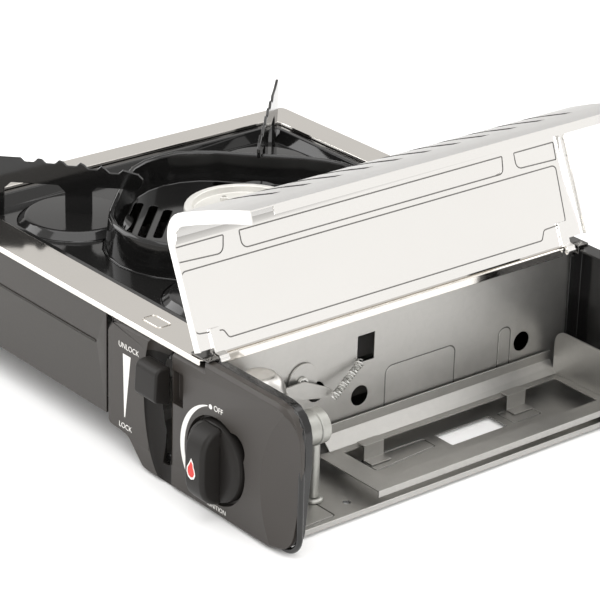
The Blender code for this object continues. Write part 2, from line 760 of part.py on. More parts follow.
def make_drip_tray():
    """The tray's outer channel, and the guard that stands up round the burner."""
    rim = -LEDGE_DROP + GAP + SHEET
    side_x, side_y = OPENING_HALF_X, OPENING_HALF_Y
    foot = GUARD_HALF + GUARD_FOOT
    tray = pressed_sheet(
        "drip_tray",
        [
            (squircle(side_x - 0.8, side_y - 0.8, OPENING_CORNER - 0.8), rim),
            (squircle(side_x - 5.5, side_y - 5.5, OPENING_CORNER - 3), rim),
            (squircle(side_x - 10, side_y - 10, OPENING_CORNER + 3), TRAY_FLOOR),
            (squircle(foot + 1 + GAP, foot + 1 + GAP, GUARD_CORNER + 4 + GAP, 45), TRAY_FLOOR),
        ],
    )
    keep(tray, "enamel", TRAY)
    hole = BURNER_RADIUS + 2
    guard = pressed_sheet(
        "wind_guard",
        [
            (squircle(foot + 1, foot + 1, GUARD_CORNER + 4, 45), TRAY_FLOOR),
            (squircle(foot, foot, GUARD_CORNER + 3, 45), TRAY_FLOOR),
            (squircle(GUARD_HALF + 0.6, GUARD_HALF + 0.6, GUARD_CORNER + 1, 45), GUARD_TOP - 1.6),
            (squircle(GUARD_HALF - 0.8, GUARD_HALF - 0.8, GUARD_CORNER, 45), GUARD_TOP),
            (squircle(GUARD_HALF - 2.6, GUARD_HALF - 2.6, GUARD_CORNER - 1, 45), GUARD_TOP - 1),
            (squircle(GUARD_HALF - 4.8, GUARD_HALF - 4.8, GUARD_CORNER - 2, 45), TRAY_FLOOR + 2),
            (squircle(hole + 3, hole + 3, hole + 2.9, 45), TRAY_FLOOR + 1),
            (squircle(hole, hole, hole - 0.1, 45), TRAY_FLOOR + 4),
        ],
    )
    keep(guard, "enamel", TRAY)


def fin_outline():
    """Radius from the burner's axis against height; the top is notched so that a pan doesn't slip."""
    floor = TRAY_FLOOR + GAP
    over_guard = GUARD_TOP + 1
    leg = GUARD_HALF + 15
    points = [
        (FIN_INNER, 17), (FIN_INNER + 3, over_guard), (leg - 3, over_guard), (leg, over_guard - 3),
        (leg, floor),
    ]
    points += [(leg + 16, floor), (leg + 16, 9), (leg + 20, 13), (FIN_OUTER - 22, 13), (FIN_OUTER - 18, 9)]
    points += [(FIN_OUTER - 18, floor), (FIN_OUTER - 12, floor), (FIN_OUTER - 4, 2), (FIN_OUTER, 10)]
    points += [
        (FIN_OUTER, FIN_TOP + FIN_RISE - 2), (FIN_OUTER - 3, FIN_TOP + FIN_RISE), (FIN_OUTER - 16, FIN_TOP),
    ]
    notch = [(5.0, 0), (2.5, -2.4), (-2.5, -2.4), (-5.0, 0)]
    for k in range(5):
        centre = FIN_OUTER - 33 - 12.5 * k
        dip = FIN_DIP * (k / 5) ** 2
        points += [(centre + dr, FIN_TOP + dz - dip) for dr, dz in notch]
    points += [(FIN_INNER + 3, FIN_TOP - FIN_DIP), (FIN_INNER, FIN_TOP - FIN_DIP - 3)]
    return points


def make_pan_supports():
    corners = (("front_left", 225), ("front_right", 315), ("back_right", 45), ("back_left", 135))
    for name, angle in corners:
        fin = prism("pan_support_" + name, fin_outline(), -FIN_SHEET / 2, FIN_SHEET / 2, "Y")
        fin.data.transform(
            Matrix.Translation((BURNER_X, BURNER_Y, 0)) @ Matrix.Rotation(math.radians(angle), 4, "Z")
        )
        keep(fin, "enamel", TRAY)


# ---------------------------------------------------------------- lid


def lid_profile():
    """Outer face of the closed lid, from the foot to the free edge, as (x, z) about the hinge pin."""
    centre = (LID_REACH - LID_CORNER, LID_RISE - LID_CORNER)
    bend = arc(*centre, LID_CORNER, 90, 0, 7)
    points = [(LID_FOOT, LID_RISE)] + bend
    low = -LID_DROP
    span = centre[1] - low
    for share in (0.25, 0.5, 0.75, 1.0):
        points.append((LID_REACH - LID_TAPER * share**1.6, centre[1] - span * share))
    return points


def make_lid():
    outer = lid_profile()
    sheet, lip = [], []
    for i, point in enumerate(outer):
        before = Vector(outer[max(i - 1, 0)])
        after = Vector(outer[min(i + 1, len(outer) - 1)])
        along = (after - before).normalized()
        inward = Vector((along.y, -along.x))
        depth = LID_LIP if point[0] < LID_REACH - LID_CORNER + 1 else LID_WALL_LIP
        sheet.append(tuple(Vector(point) + inward * SHEET))
        lip.append(tuple(Vector(point) + inward * depth))
    front = -LID_FRONT_OVERHANG
    back = BACK + LID_FRONT_OVERHANG
    bm = bmesh.new()
    rows = []
    for o, s, l in zip(outer, sheet, lip):
        section = [
            (o, front), (l, front), (l, front + SHEET), (s, front + SHEET), (s, back - SHEET),
            (l, back - SHEET), (l, back), (o, back),
        ]
        rows.append([bm.verts.new((p[0], y, p[1])) for p, y in section])
    for a, b in zip(rows, rows[1:]):
        for i in range(8):
            j = (i + 1) % 8
            bm.faces.new((a[i], a[j], b[j], b[i]))
    for row in (rows[0], rows[-1]):
        for quad in ((0, 1, 2, 3), (0, 3, 4, 7), (4, 5, 6, 7)):
            bm.faces.new([row[i] for i in quad])
    lid = to_object(bm, "lid_shell")
    for low, high in ((front - 5, 10.0), (BACK - 10.0, back + 5)):
        cut(lid, block("corner_notch", (-5, low, -5), (LID_FOOT + 3, high, 10)))
    edge_x = LID_REACH - LID_TAPER
    edge = block(
        "edge_lip", (edge_x - LID_LIP, PLATE_Y0 + 7, -LID_DROP),
        (edge_x - 0.1, BACK - PLATE_Y0 - 7, -LID_DROP + SHEET),
    )
    join(lid, edge)
    for k in range(LOUVRES):
        y = LOUVRE_START + LOUVRE_PITCH * k
        lens = [(-7, 15), (-3.4, 5), (-1.5, -6), (1, -15), (7, -15), (3.4, -5), (1.5, 6), (-1, 15)]
        outline = [(y + dy, LOUVRE_LEVEL + dz) for dy, dz in lens]
        cut(lid, prism("louvre", outline, LID_REACH - 8, LID_REACH + 8, "X"))
    keep(lid, "stainless", LID, closed_frame=True)

    for name, y0 in (("lid_knuckle_front", 10.0), ("lid_knuckle_rear", BACK - 16.0)):
        top = LID_RISE - SHEET - GAP
        low = top - 0.9
        end = LID_FOOT + 13
        web = [
            (3.2, top), (3.05, low), (1.3, -0.6), (0.8, -1.4), (2.6, -1.3), (4.4, low), (end, low),
            (end, top),
        ]
        knuckle = prism(name, web, y0, y0 + 6, "Y")
        join(knuckle, rod("barrel", (0, 0, 0), KNUCKLE_RADIUS, y0, y0 + 6))
        drill(knuckle, (0, 0, 0), BORE_RADIUS, y0 - 3, y0 + 9, "Y")
        keep(knuckle, "stainless", LID, closed_frame=True)


def make_hinge_brackets():
    """Each bracket caps a corner of the top plate and drops an ear that holds the hinge pin."""
    for end, inner in (("front", 1), ("rear", -1)):
        origin = 0.0 if inner > 0 else BACK

        def span(a, b, origin=origin, inner=inner):
            return sorted((origin + inner * a, origin + inner * b))

        y0, y1 = span(1.0, 9.0)
        bracket = block("hinge_bracket_" + end, (-11, y0, GAP), (4.2, y1, GAP + 1))
        e0, e1 = span(7.8, 9.0)
        join(bracket, block("ear", (0.4, e0, -4), (4.2, e1, GAP + 0.5)))
        drill(bracket, (HINGE_X, 0, HINGE_Z), BORE_RADIUS, y0 - 3, y1 + 3, "Y")
        keep(bracket, "stainless")
        p0, p1 = span(7.7, 16.5)
        keep(rod("hinge_pin_" + end, (HINGE_X, 0, HINGE_Z), PIN_RADIUS, p0, p1), "spring_steel")


# ---------------------------------------------------------------- carriage and lever


def make_carriage():
    top = CARRIAGE_TOP
    low = top - CARRIAGE_SHEET
    frame = prism(
        "carriage_frame", box_outline(CARRIAGE_LEFT, CARRIAGE_FRONT, CARRIAGE_RIGHT, CARRIAGE_BACK), low,
        top,
    )
    cut(
        frame,
        prism(
            "window", box_outline(WINDOW_LEFT, WINDOW_FRONT, WINDOW_RIGHT, WINDOW_BACK), low - 5, top + 5,
        ),
    )
    join(
        frame,
        block(
            "right_rail", (CARRIAGE_RIGHT - CARRIAGE_SHEET, CARRIAGE_FRONT, top - 4),
            (CARRIAGE_RIGHT, CARRIAGE_BACK, low + 0.2),
        ),
    )
    wall = -PARTITION_SET_BACK + 1.6
    slope = [(CARRIAGE_LEFT + 0.4, low), (wall, top + 6), (wall, top + 12)]
    join(frame, prism("left_flange", strip(slope, -CARRIAGE_SHEET), CARRIAGE_FRONT + 8, CARRIAGE_BACK, "Y"))
    stop_outline = rounded([(5, top - 0.4, 0), (50, top - 0.4, 0), (50, STOP_TOP, 8), (5, STOP_TOP, 8)])
    join(frame, prism("stop", stop_outline, CARRIAGE_BACK - CARRIAGE_SHEET, CARRIAGE_BACK, "Y"))
    keep(frame, "galvanised", CARRIAGE)

    plate_top = low - GAP
    plate_low = plate_top - 1.2
    arm_x = LEVER_X + LEVER_SHEET / 2 + 1.4
    link = block(
        "carriage_link", (arm_x, CARRIAGE_FRONT + 2, plate_low),
        (WINDOW_LEFT - 1, CARRIAGE_FRONT + 12, plate_top),
    )
    join(
        link,
        block("rail", (arm_x, LEVER_PIVOT_Y - 6, plate_low), (arm_x + 8, CARRIAGE_FRONT + 12, plate_top)),
    )
    pin_y = LEVER_PIVOT_Y + CRANK * math.sin(math.radians(LEVER_REST))
    pin_z = LEVER_PIVOT_Z + CRANK * math.cos(math.radians(LEVER_REST))
    ear_top = LEVER_PIVOT_Z + CRANK + 6
    over_pin = LEVER_PIVOT_Z + 2.6
    leg = LEVER_PIVOT_Y + CARRIAGE_STROKE + 3.2
    ear = [
        (leg, plate_low), (leg + 6, plate_low), (leg + 6, ear_top), (pin_y - 5, ear_top),
        (pin_y - 5, over_pin), (leg, over_pin),
    ]
    join(link, prism("ear", ear, arm_x, arm_x + 1.2, "X"))
    side = DRIVE_PIN + 0.3
    slot = block(
        "pin_slot", (arm_x - 5, pin_y - side, pin_z - side - 0.4),
        (arm_x + 5, pin_y + side, LEVER_PIVOT_Z + CRANK + side + 0.6),
    )
    cut(link, slot)
    keep(link, "galvanised", CARRIAGE)

    floor = FLOOR + 1.3 + SHEET + GAP
    for name, y in (("guide_clip_front", 100.0), ("guide_clip_rear", 206.0)):
        path = [
            (22, floor), (WINDOW_LEFT + 2.6, floor), (WINDOW_LEFT + 2.6, top + GAP + 0.3),
            (WINDOW_LEFT - 3, top + GAP + 0.3),
        ]
        keep(prism(name, strip(path, -SHEET), y, y + 14, "Y"), "galvanised")


def make_lever():
    rest = math.radians(LEVER_REST)
    away = Vector((-math.cos(rest), math.sin(rest)))
    across = Vector((-away.y, away.x))
    hub = Vector((LEVER_PIVOT_Y, LEVER_PIVOT_Z))
    crank = hub + Vector((math.sin(rest), math.cos(rest))) * CRANK
    x0 = LEVER_X - LEVER_SHEET / 2
    x1 = x0 + LEVER_SHEET

    arm_end = hub + away * LEVER_REACH

    def bar(grow):
        """The arm's outline, grown for the grip's pocket."""
        back = hub - away * 6
        tip = arm_end + away * grow
        side = across * (5 + grow)
        return [tuple(p) for p in (back - side, back + side, tip + side, tip - side)]

    arm = prism("lever_arm", bar(0), x0, x1, "X")
    reach = (crank - hub).normalized() * CRANK
    side = away * 3.6
    join(
        arm,
        prism(
            "crank", [tuple(p) for p in (hub - side, hub + side, hub + reach + side, hub + reach - side)],
            x0, x1, "X",
        ),
    )
    join(arm, rod("crank_end", (0, crank.x, crank.y), 3.6, x0, x1, "X"))
    drill(arm, (0, *hub), 2.05, x0 - 5, x1 + 5, "X")
    drill(arm, (0, *crank), DRIVE_PIN + 0.1, x0 - 5, x1 + 5, "X")
    keep(arm, "galvanised", LEVER)
    keep(rod("drive_pin", (0, *crank), DRIVE_PIN, x0 + 0.1, x1 + 3.4, "X", 12), "spring_steel", LEVER)

    middle = hub + away * (LEVER_REACH + 3.5)
    outline = rounded(
        [
            (middle.x - 5.5, middle.y - 8, 3.0),
            (middle.x + 5.0, middle.y - 11, 1.5),
            (middle.x + 5.0, middle.y + 11, 1.5),
            (middle.x - 4.5, middle.y + 11, 4.0),
        ],
        3,
    )
    grip = prism("lever_grip", outline, -SLOT_LEFT + 1.0, -SLOT_RIGHT - 1.0, "X")
    cut(grip, prism("pocket", bar(GAP), x0 - GAP, x1 + GAP, "X"))
    keep(grip, "knob_plastic", LEVER)

    keep(rod("lever_pivot_pin", (0, *hub), 1.9, CRADLE_LEFT - 0.5, CRADLE_RIGHT + 0.5, "X"), "spring_steel")
    web = LEVER_PIVOT_Y + 25
    start = PLATE_Y0 + END_PLATE + GAP + 1.2
    cradle_path = [
        (CRADLE_LEFT - 4, start), (CRADLE_LEFT, start), (CRADLE_LEFT, web), (CRADLE_RIGHT, web),
        (CRADLE_RIGHT, start), (CRADLE_RIGHT + 4, start),
    ]
    cradle = prism("lever_cradle", strip(cradle_path, -1.2), LEVER_PIVOT_Z - 7, LEVER_PIVOT_Z + 7)
    drill(cradle, (0, *hub), 2.0, -60, 0, "X")
    keep(cradle, "galvanised")


def make_latch():
    """The cartridge latch: a pressed disc riveted to the partition, with its return spring."""
    face = -PARTITION_SET_BACK + GAP
    keep(rod("latch_disc", (0, 68.5, -30), 10, face, face + 1.2, "X", 24), "galvanised")
    rivet = ring_section(
        "latch_rivet", [(1.6, face + 1.5), (3.6, face + 1.5), (3.2, face + 3.4), (1.9, face + 3.4)],
        (0, 67, -30.5), "X", 16,
    )
    keep(rivet, "spring_steel")
    lever = prism(
        "latch_lever", rounded([(48, -35, 3), (84, -43, 3), (86, -38, 3), (66, -28.5, 0), (48, -29, 3)]),
        face + 4.0, face + 5.2, "X",
    )
    keep(lever, "galvanised")
    turns, steps = 14, 8
    low = Vector((face + 9.4, 82.8, -40.8))
    high = Vector((face + 2.2, 108.0, -29.0))
    axis = high - low
    side = axis.orthogonal().normalized()
    other = axis.cross(side).normalized()
    count = turns * steps
    coil = []
    for i in range(count + 1):
        angle = 2 * math.pi * i / steps
        coil.append(
            tuple(low + axis * (i / count) + (side * math.cos(angle) + other * math.sin(angle)) * 2.0)
        )
    wire("latch_spring", coil, 0.45, "spring_steel", resolution=0)


# ---------------------------------------------------------------- knob


def make_knob():
    front = -KNOB_PROUD
    floor = KNOB_RECESS - 0.6
    radius = KNOB_RADIUS
    profile = [
        (0, floor), (radius, floor), (radius, 1), (radius - 1.2, -3), (radius - 4, -8), (radius - 8.5, -12),
        (radius - 13, front + 0.7), (0, front),
    ]
    knob = turned("ignition_knob", [(r, -h) for r, h in profile], (0, 0, 0), "Z", 36)
    knob.data.transform(Matrix.Translation((KNOB_X, 0, KNOB_Z)) @ Matrix.Rotation(math.radians(90), 4, "X"))
    for side in (-1, 1):
        scoop = [
            (side * 4.2, front - 3), (side * 5.4, front + 3), (side * 12, -6.5),
            (side * (radius + 2), -1.2), (side * (radius + 2), front - 3),
        ]
        outline = [(KNOB_X + x, y) for x, y in scoop]
        if side < 0:
            outline = outline[::-1]
        cut(knob, prism("scoop", outline, KNOB_Z - radius - 2, KNOB_Z + radius + 2))
    keep(knob, "knob_plastic", KNOB)
    spindle = rod("knob_spindle", (KNOB_X, 0, KNOB_Z), 2.95, floor + GAP, 15.5)
    keep(spindle, "brass", KNOB)


make_body_shell()
make_top_plate()
make_bottom_pan()
make_partition()
make_feet()
make_front_bezel()
make_end_plates()
make_regulator()
make_gas_line()
make_burner()
make_igniter()
make_drip_tray()
make_pan_supports()
make_lid()
make_hinge_brackets()
make_carriage()
make_lever()
make_latch()
make_knob()
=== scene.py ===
"""Two-plate folding camping stove with its lid open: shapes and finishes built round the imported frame."""

import math

import bpy
from mathutils import Matrix, Vector

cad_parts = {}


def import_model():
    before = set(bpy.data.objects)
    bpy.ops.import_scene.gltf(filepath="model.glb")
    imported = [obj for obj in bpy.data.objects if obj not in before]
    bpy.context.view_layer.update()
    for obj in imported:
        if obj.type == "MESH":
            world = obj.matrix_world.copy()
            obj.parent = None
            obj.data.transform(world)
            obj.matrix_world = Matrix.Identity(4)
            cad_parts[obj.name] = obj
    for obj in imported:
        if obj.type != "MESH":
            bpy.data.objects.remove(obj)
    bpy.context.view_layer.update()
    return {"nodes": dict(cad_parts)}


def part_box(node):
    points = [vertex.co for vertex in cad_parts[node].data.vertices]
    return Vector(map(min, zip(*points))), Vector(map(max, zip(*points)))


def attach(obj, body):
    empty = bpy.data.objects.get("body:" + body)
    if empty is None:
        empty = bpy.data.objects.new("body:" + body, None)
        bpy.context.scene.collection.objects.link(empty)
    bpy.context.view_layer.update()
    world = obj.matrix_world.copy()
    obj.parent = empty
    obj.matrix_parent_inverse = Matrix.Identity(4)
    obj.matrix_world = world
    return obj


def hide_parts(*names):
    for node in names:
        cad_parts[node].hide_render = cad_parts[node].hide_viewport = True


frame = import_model()

bl_info = {
    "name": "Folding camping stove",
    "version": (1, 0, 0),
    "blender": (4, 5, 0),
    "location": "3D View > Sidebar > Stove",
    "description": "Builds the shapes, finishes and studio of a two-plate folding camping stove",
    "category": "Object",
}

MM = 0.001
PLATE_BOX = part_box("top_plate")
# Front end of the hinge line, on the top plate: every place below is given from it, in millimetres.
DATUM = Vector((PLATE_BOX[1].x, PLATE_BOX[0].y, PLATE_BOX[1].z))
PLATE_LEFT = (PLATE_BOX[0].x - DATUM.x) / MM
PLATE_DEPTH = (PLATE_BOX[1].y - DATUM.y) / MM
PANEL_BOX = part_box("front_bezel")
PANEL_RIGHT = (PANEL_BOX[1].x - DATUM.x) / MM
PANEL_LOW = (PANEL_BOX[0].z - DATUM.z) / MM
KNOB_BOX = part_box("ignition_knob")
KNOB_AXIS = ((KNOB_BOX[0] + KNOB_BOX[1]) / 2 - DATUM) / MM
KNOB_REACH = (KNOB_BOX[0].y - DATUM.y) / MM
CAP_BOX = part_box("burner_cap")
BURNER = ((CAP_BOX[0] + CAP_BOX[1]) / 2 - DATUM) / MM
KNOB_RIDGE = 15.6
LID_ANGLE = math.radians(114.0)
HINGE = Vector((1.8, 0.0, -1.5))
LID_UP = Vector((math.cos(LID_ANGLE), 0.0, math.sin(LID_ANGLE)))
LID_OUT = Vector((math.sin(LID_ANGLE), 0.0, -math.cos(LID_ANGLE)))
LID_INNER_FACE = -3.1


# ---------------------------------------------------------------- modelling helpers


def world(x, y, z):
    """A place given in millimetres from the datum, in metres in the frame."""
    return DATUM + Vector((x, y, z)) * MM


def deselect():
    for obj in bpy.context.selected_objects:
        obj.select_set(False)


def activate(obj):
    deselect()
    obj.select_set(True)
    bpy.context.view_layer.objects.active = obj


def edit(obj):
    """Goes into edit mode with every face selected."""
    activate(obj)
    bpy.ops.object.mode_set(mode="EDIT")
    bpy.ops.mesh.select_mode(type="FACE")
    bpy.ops.mesh.select_all(action="SELECT")


def leave():
    bpy.ops.object.mode_set(mode="OBJECT")


def apply_all(obj):
    activate(obj)
    for modifier in list(obj.modifiers):
        bpy.ops.object.modifier_apply(modifier=modifier.name)


def soften(obj, width, segments=2, angle=30.0):
    """Rounds the edges sharper than the angle and shades the piece smooth."""
    if width > 0.0:
        bevel = obj.modifiers.new("soften", "BEVEL")
        bevel.width = width * MM
        bevel.segments = segments
        bevel.limit_method = "ANGLE"
        bevel.angle_limit = math.radians(angle)
        bevel.use_clamp_overlap = False
        bevel.miter_outer = "MITER_ARC"
        apply_all(obj)
    activate(obj)
    bpy.ops.object.shade_smooth_by_angle(angle=math.radians(angle))
    flats = obj.modifiers.new("flats", "WEIGHTED_NORMAL")
    flats.keep_sharp = True
    apply_all(obj)
    deselect()


def subtract(obj, cutter, operation="DIFFERENCE"):
    boolean = obj.modifiers.new("cut", "BOOLEAN")
    boolean.operation = operation
    boolean.use_self = operation == "UNION"
    boolean.solver = "EXACT"
    boolean.object = cutter
    apply_all(obj)
    bpy.data.objects.remove(cutter)


def copy_of(node, name, whole_faces=True):
    """The CAD node's shape as a new piece, merged. A sheet with holes in its flats keeps its triangles."""
    source = frame["nodes"][node]
    piece = bpy.data.objects.new(name, source.data.copy())
    bpy.context.scene.collection.objects.link(piece)
    piece.data.materials.clear()
    edit(piece)
    bpy.ops.mesh.remove_doubles(threshold=0.002 * MM)
    if whole_faces:
        bpy.ops.mesh.dissolve_limited(angle_limit=math.radians(1.0))
    leave()
    return piece


def corner_arc(before, corner, after, radius, steps):
    """Points of an arc that rounds the corner of an outline."""
    into = (Vector(before) - Vector(corner)).normalized()
    out = (Vector(after) - Vector(corner)).normalized()
    half = into.angle(out) / 2
    reach = radius / math.tan(half)
    centre = Vector(corner) + (into + out).normalized() * (radius / math.sin(half))
    start = Vector(corner) + into * reach - centre
    end = Vector(corner) + out * reach - centre
    points = []
    for i in range(steps + 1):
        share = i / steps
        swing = start.lerp(end, share)
        points.append(tuple(centre + swing.normalized() * radius))
    return points


def rounded(corners, steps=5):
    """An outline from corners (x, y, radius)."""
    points = []
    count = len(corners)
    for i, (x, y, radius) in enumerate(corners):
        if radius <= 0:
            points.append((x, y))
            continue
        before = corners[i - 1][:2]
        after = corners[(i + 1) % count][:2]
        points += corner_arc(before, (x, y), after, radius, steps)
    return points


def rectangle(x0, y0, x1, y1, radius, steps=5):
    return rounded([(x0, y0, radius), (x1, y0, radius), (x1, y1, radius), (x0, y1, radius)], steps)


def ring(x, y, radius, steps=32, start=0.0, sweep=360.0):
    """Points on a circle; a part of one when the sweep is less than a turn."""
    count = steps if sweep >= 360.0 else steps + 1
    turn = [math.radians(start + sweep * i / steps) for i in range(count)]
    return [(x + radius * math.cos(a), y + radius * math.sin(a)) for a in turn]


def shrunk(outline, width):
    """The outline moved inwards by the width."""
    points = []
    count = len(outline)
    turn = winding(outline)
    for i in range(count):
        here = Vector(outline[i])
        along = (Vector(outline[(i + 1) % count]) - Vector(outline[i - 1])).normalized()
        side = Vector((-along.y, along.x))
        points.append(tuple(here + side * width * turn))
    return points


def winding(outline):
    area = sum(a[0] * b[1] - b[0] * a[1] for a, b in zip(outline, outline[1:] + outline[:1]))
    return 1.0 if area > 0 else -1.0


def axes(right, up, out, origin):
    """A frame whose local x, y and z run along right, up and out, with its origin in millimetres."""
    turn = Matrix((right, up, out)).transposed().to_4x4()
    return Matrix.Translation(world(*origin)) @ turn


FLAT = axes((1, 0, 0), (0, 1, 0), (0, 0, 1), (0, 0, 0))
FRONT = axes((1, 0, 0), (0, 0, 1), (0, -1, 0), (0, 0, 0))
LID_FACE = axes((0, 1, 0), LID_UP, LID_OUT, HINGE)
SIDE = axes((0, 1, 0), (0, 0, 1), (1, 0, 0), (0, 0, 0))
UPRIGHT = axes((0, 0, 1), (0, -1, 0), (1, 0, 0), (0, 0, 0))
LID_WALL = axes((0, 1, 0), LID_OUT, -LID_UP, HINGE)
LID_REACH = 79.8
LID_TAPER = 5.0
LID_WALL_START = -12.1
LID_WALL_SPAN = 61.3
LOUVRES = 11
LOUVRE_START = 36.0
LOUVRE_PITCH = 20.6
LOUVRE_LEVEL = 27.0
LOUVRE = [(-7, 15), (-3.4, 5), (-1.5, -6), (1, -15), (7, -15), (3.4, -5), (1.5, 6), (-1, 15)]
GROOVE = 0.75
PARTITION_FACE = (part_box("partition")[1].x - DATUM.x) / MM
PARTITION_WINDOW = [(127.5, -76, 2), (179.5, -76, 2), (179.5, -38.5, 5), (127.5, -38.5, 5)]
PARTITION_PILL = [(212.0, -76, 2), (222.0, -76, 2), (222.0, -38.5, 4.5), (212.0, -38.5, 4.5)]
PAN_FACE = PANEL_LOW + 2.1
PAN_FRONT_PANEL = [(34, 20, 2), (54, 20, 2), (53, 49, 2), (34, 49, 2)]
PAN_MIDDLE_PANEL = [(13, 99, 2), (27.5, 99, 2), (24, 145, 2), (13, 145, 2)]
PAN_REAR_PANEL = [(14, 199, 2), (29, 199, 2), (29, 221, 2), (14, 221, 2)]


def slab(name, outline, low, high, place):
    """A flat outline in the frame's x and y, extruded from low to high along its z."""
    deselect()
    bpy.ops.mesh.primitive_circle_add(vertices=len(outline), radius=1.0, fill_type="NGON")
    piece = bpy.context.object
    piece.name = name
    for vertex, (x, y) in zip(piece.data.vertices, outline):
        vertex.co = (x * MM, y * MM, low * MM)
    edit(piece)
    bpy.ops.mesh.extrude_region_move(TRANSFORM_OT_translate={"value": (0, 0, (high - low) * MM)})
    bpy.ops.mesh.select_all(action="SELECT")
    bpy.ops.mesh.normals_make_consistent(inside=False)
    leave()
    piece.data.transform(place)
    return piece


def drum(name, x, y, z, profile, place=FLAT, sides=32):
    """A turned piece: a cylinder whose rings are reset to the profile's (radius, height) points."""
    first, *others = profile
    deselect()
    bpy.ops.mesh.primitive_circle_add(vertices=sides, radius=first[0] * MM, fill_type="NGON")
    piece = bpy.context.object
    piece.name = name
    piece.data.transform(Matrix.Translation((0, 0, first[1] * MM)))
    edit(piece)
    radius, height = first
    for next_radius, next_height in others:
        rise = (next_height - height) * MM
        bpy.ops.mesh.extrude_region_move(TRANSFORM_OT_translate={"value": (0, 0, rise)})
        share = max(next_radius, 0.02) / max(radius, 0.02)
        bpy.ops.transform.resize(value=(share, share, 1), center_override=(0, 0, next_height * MM))
        radius, height = next_radius, next_height
    bpy.ops.mesh.select_all(action="SELECT")
    bpy.ops.mesh.normals_make_consistent(inside=False)
    leave()
    shift = place.to_3x3().to_4x4()
    piece.data.transform(Matrix.Translation(world(x, y, z)) @ shift)
    return piece


def join(name, pieces):
    deselect()
    for piece in pieces:
        piece.select_set(True)
    bpy.context.view_layer.objects.active = pieces[0]
    if len(pieces) > 1:
        bpy.ops.object.join()
    pieces[0].name = name
    deselect()
    return pieces[0]


def finish_piece(piece, body, material, replaced=()):
    """Puts the piece on its body, gives it its finish, and hides the frame nodes it replaces."""
    piece.data.materials.clear()
    piece.data.materials.append(material)
    for face in piece.data.polygons:
        face.material_index = 0
    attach(piece, body)
    if replaced:
        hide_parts(*replaced)
    deselect()
    return piece


def darken(piece, pick, material):
    """Gives the faces that pick(centre, normal) accepts one more finish; every use here paints shade."""
    piece.data.materials.append(material)
    for face in piece.data.polygons:
        if pick((face.center - DATUM) / MM, face.normal):
            face.material_index = len(piece.data.materials) - 1


# ---------------------------------------------------------------- finishes


class Wire:
    """A socket's number, which can be added, multiplied and compared."""

    def __init__(self, finish, socket):
        self.finish = finish
        self.socket = socket

    def math(self, operation, first, second):
        made = self.finish.node("ShaderNodeMath", {"operation": operation}, {0: first, 1: second})
        return Wire(self.finish, made.outputs[0])

    def __add__(self, other):
        return self.math("ADD", self, other)

    def __radd__(self, other):
        return self.math("ADD", other, self)

    def __sub__(self, other):
        return self.math("SUBTRACT", self, other)

    def __rsub__(self, other):
        return self.math("SUBTRACT", other, self)

    def __mul__(self, other):
        return self.math("MULTIPLY", self, other)

    def __rmul__(self, other):
        return self.math("MULTIPLY", other, self)

    def __gt__(self, other):
        return self.math("GREATER_THAN", self, other)


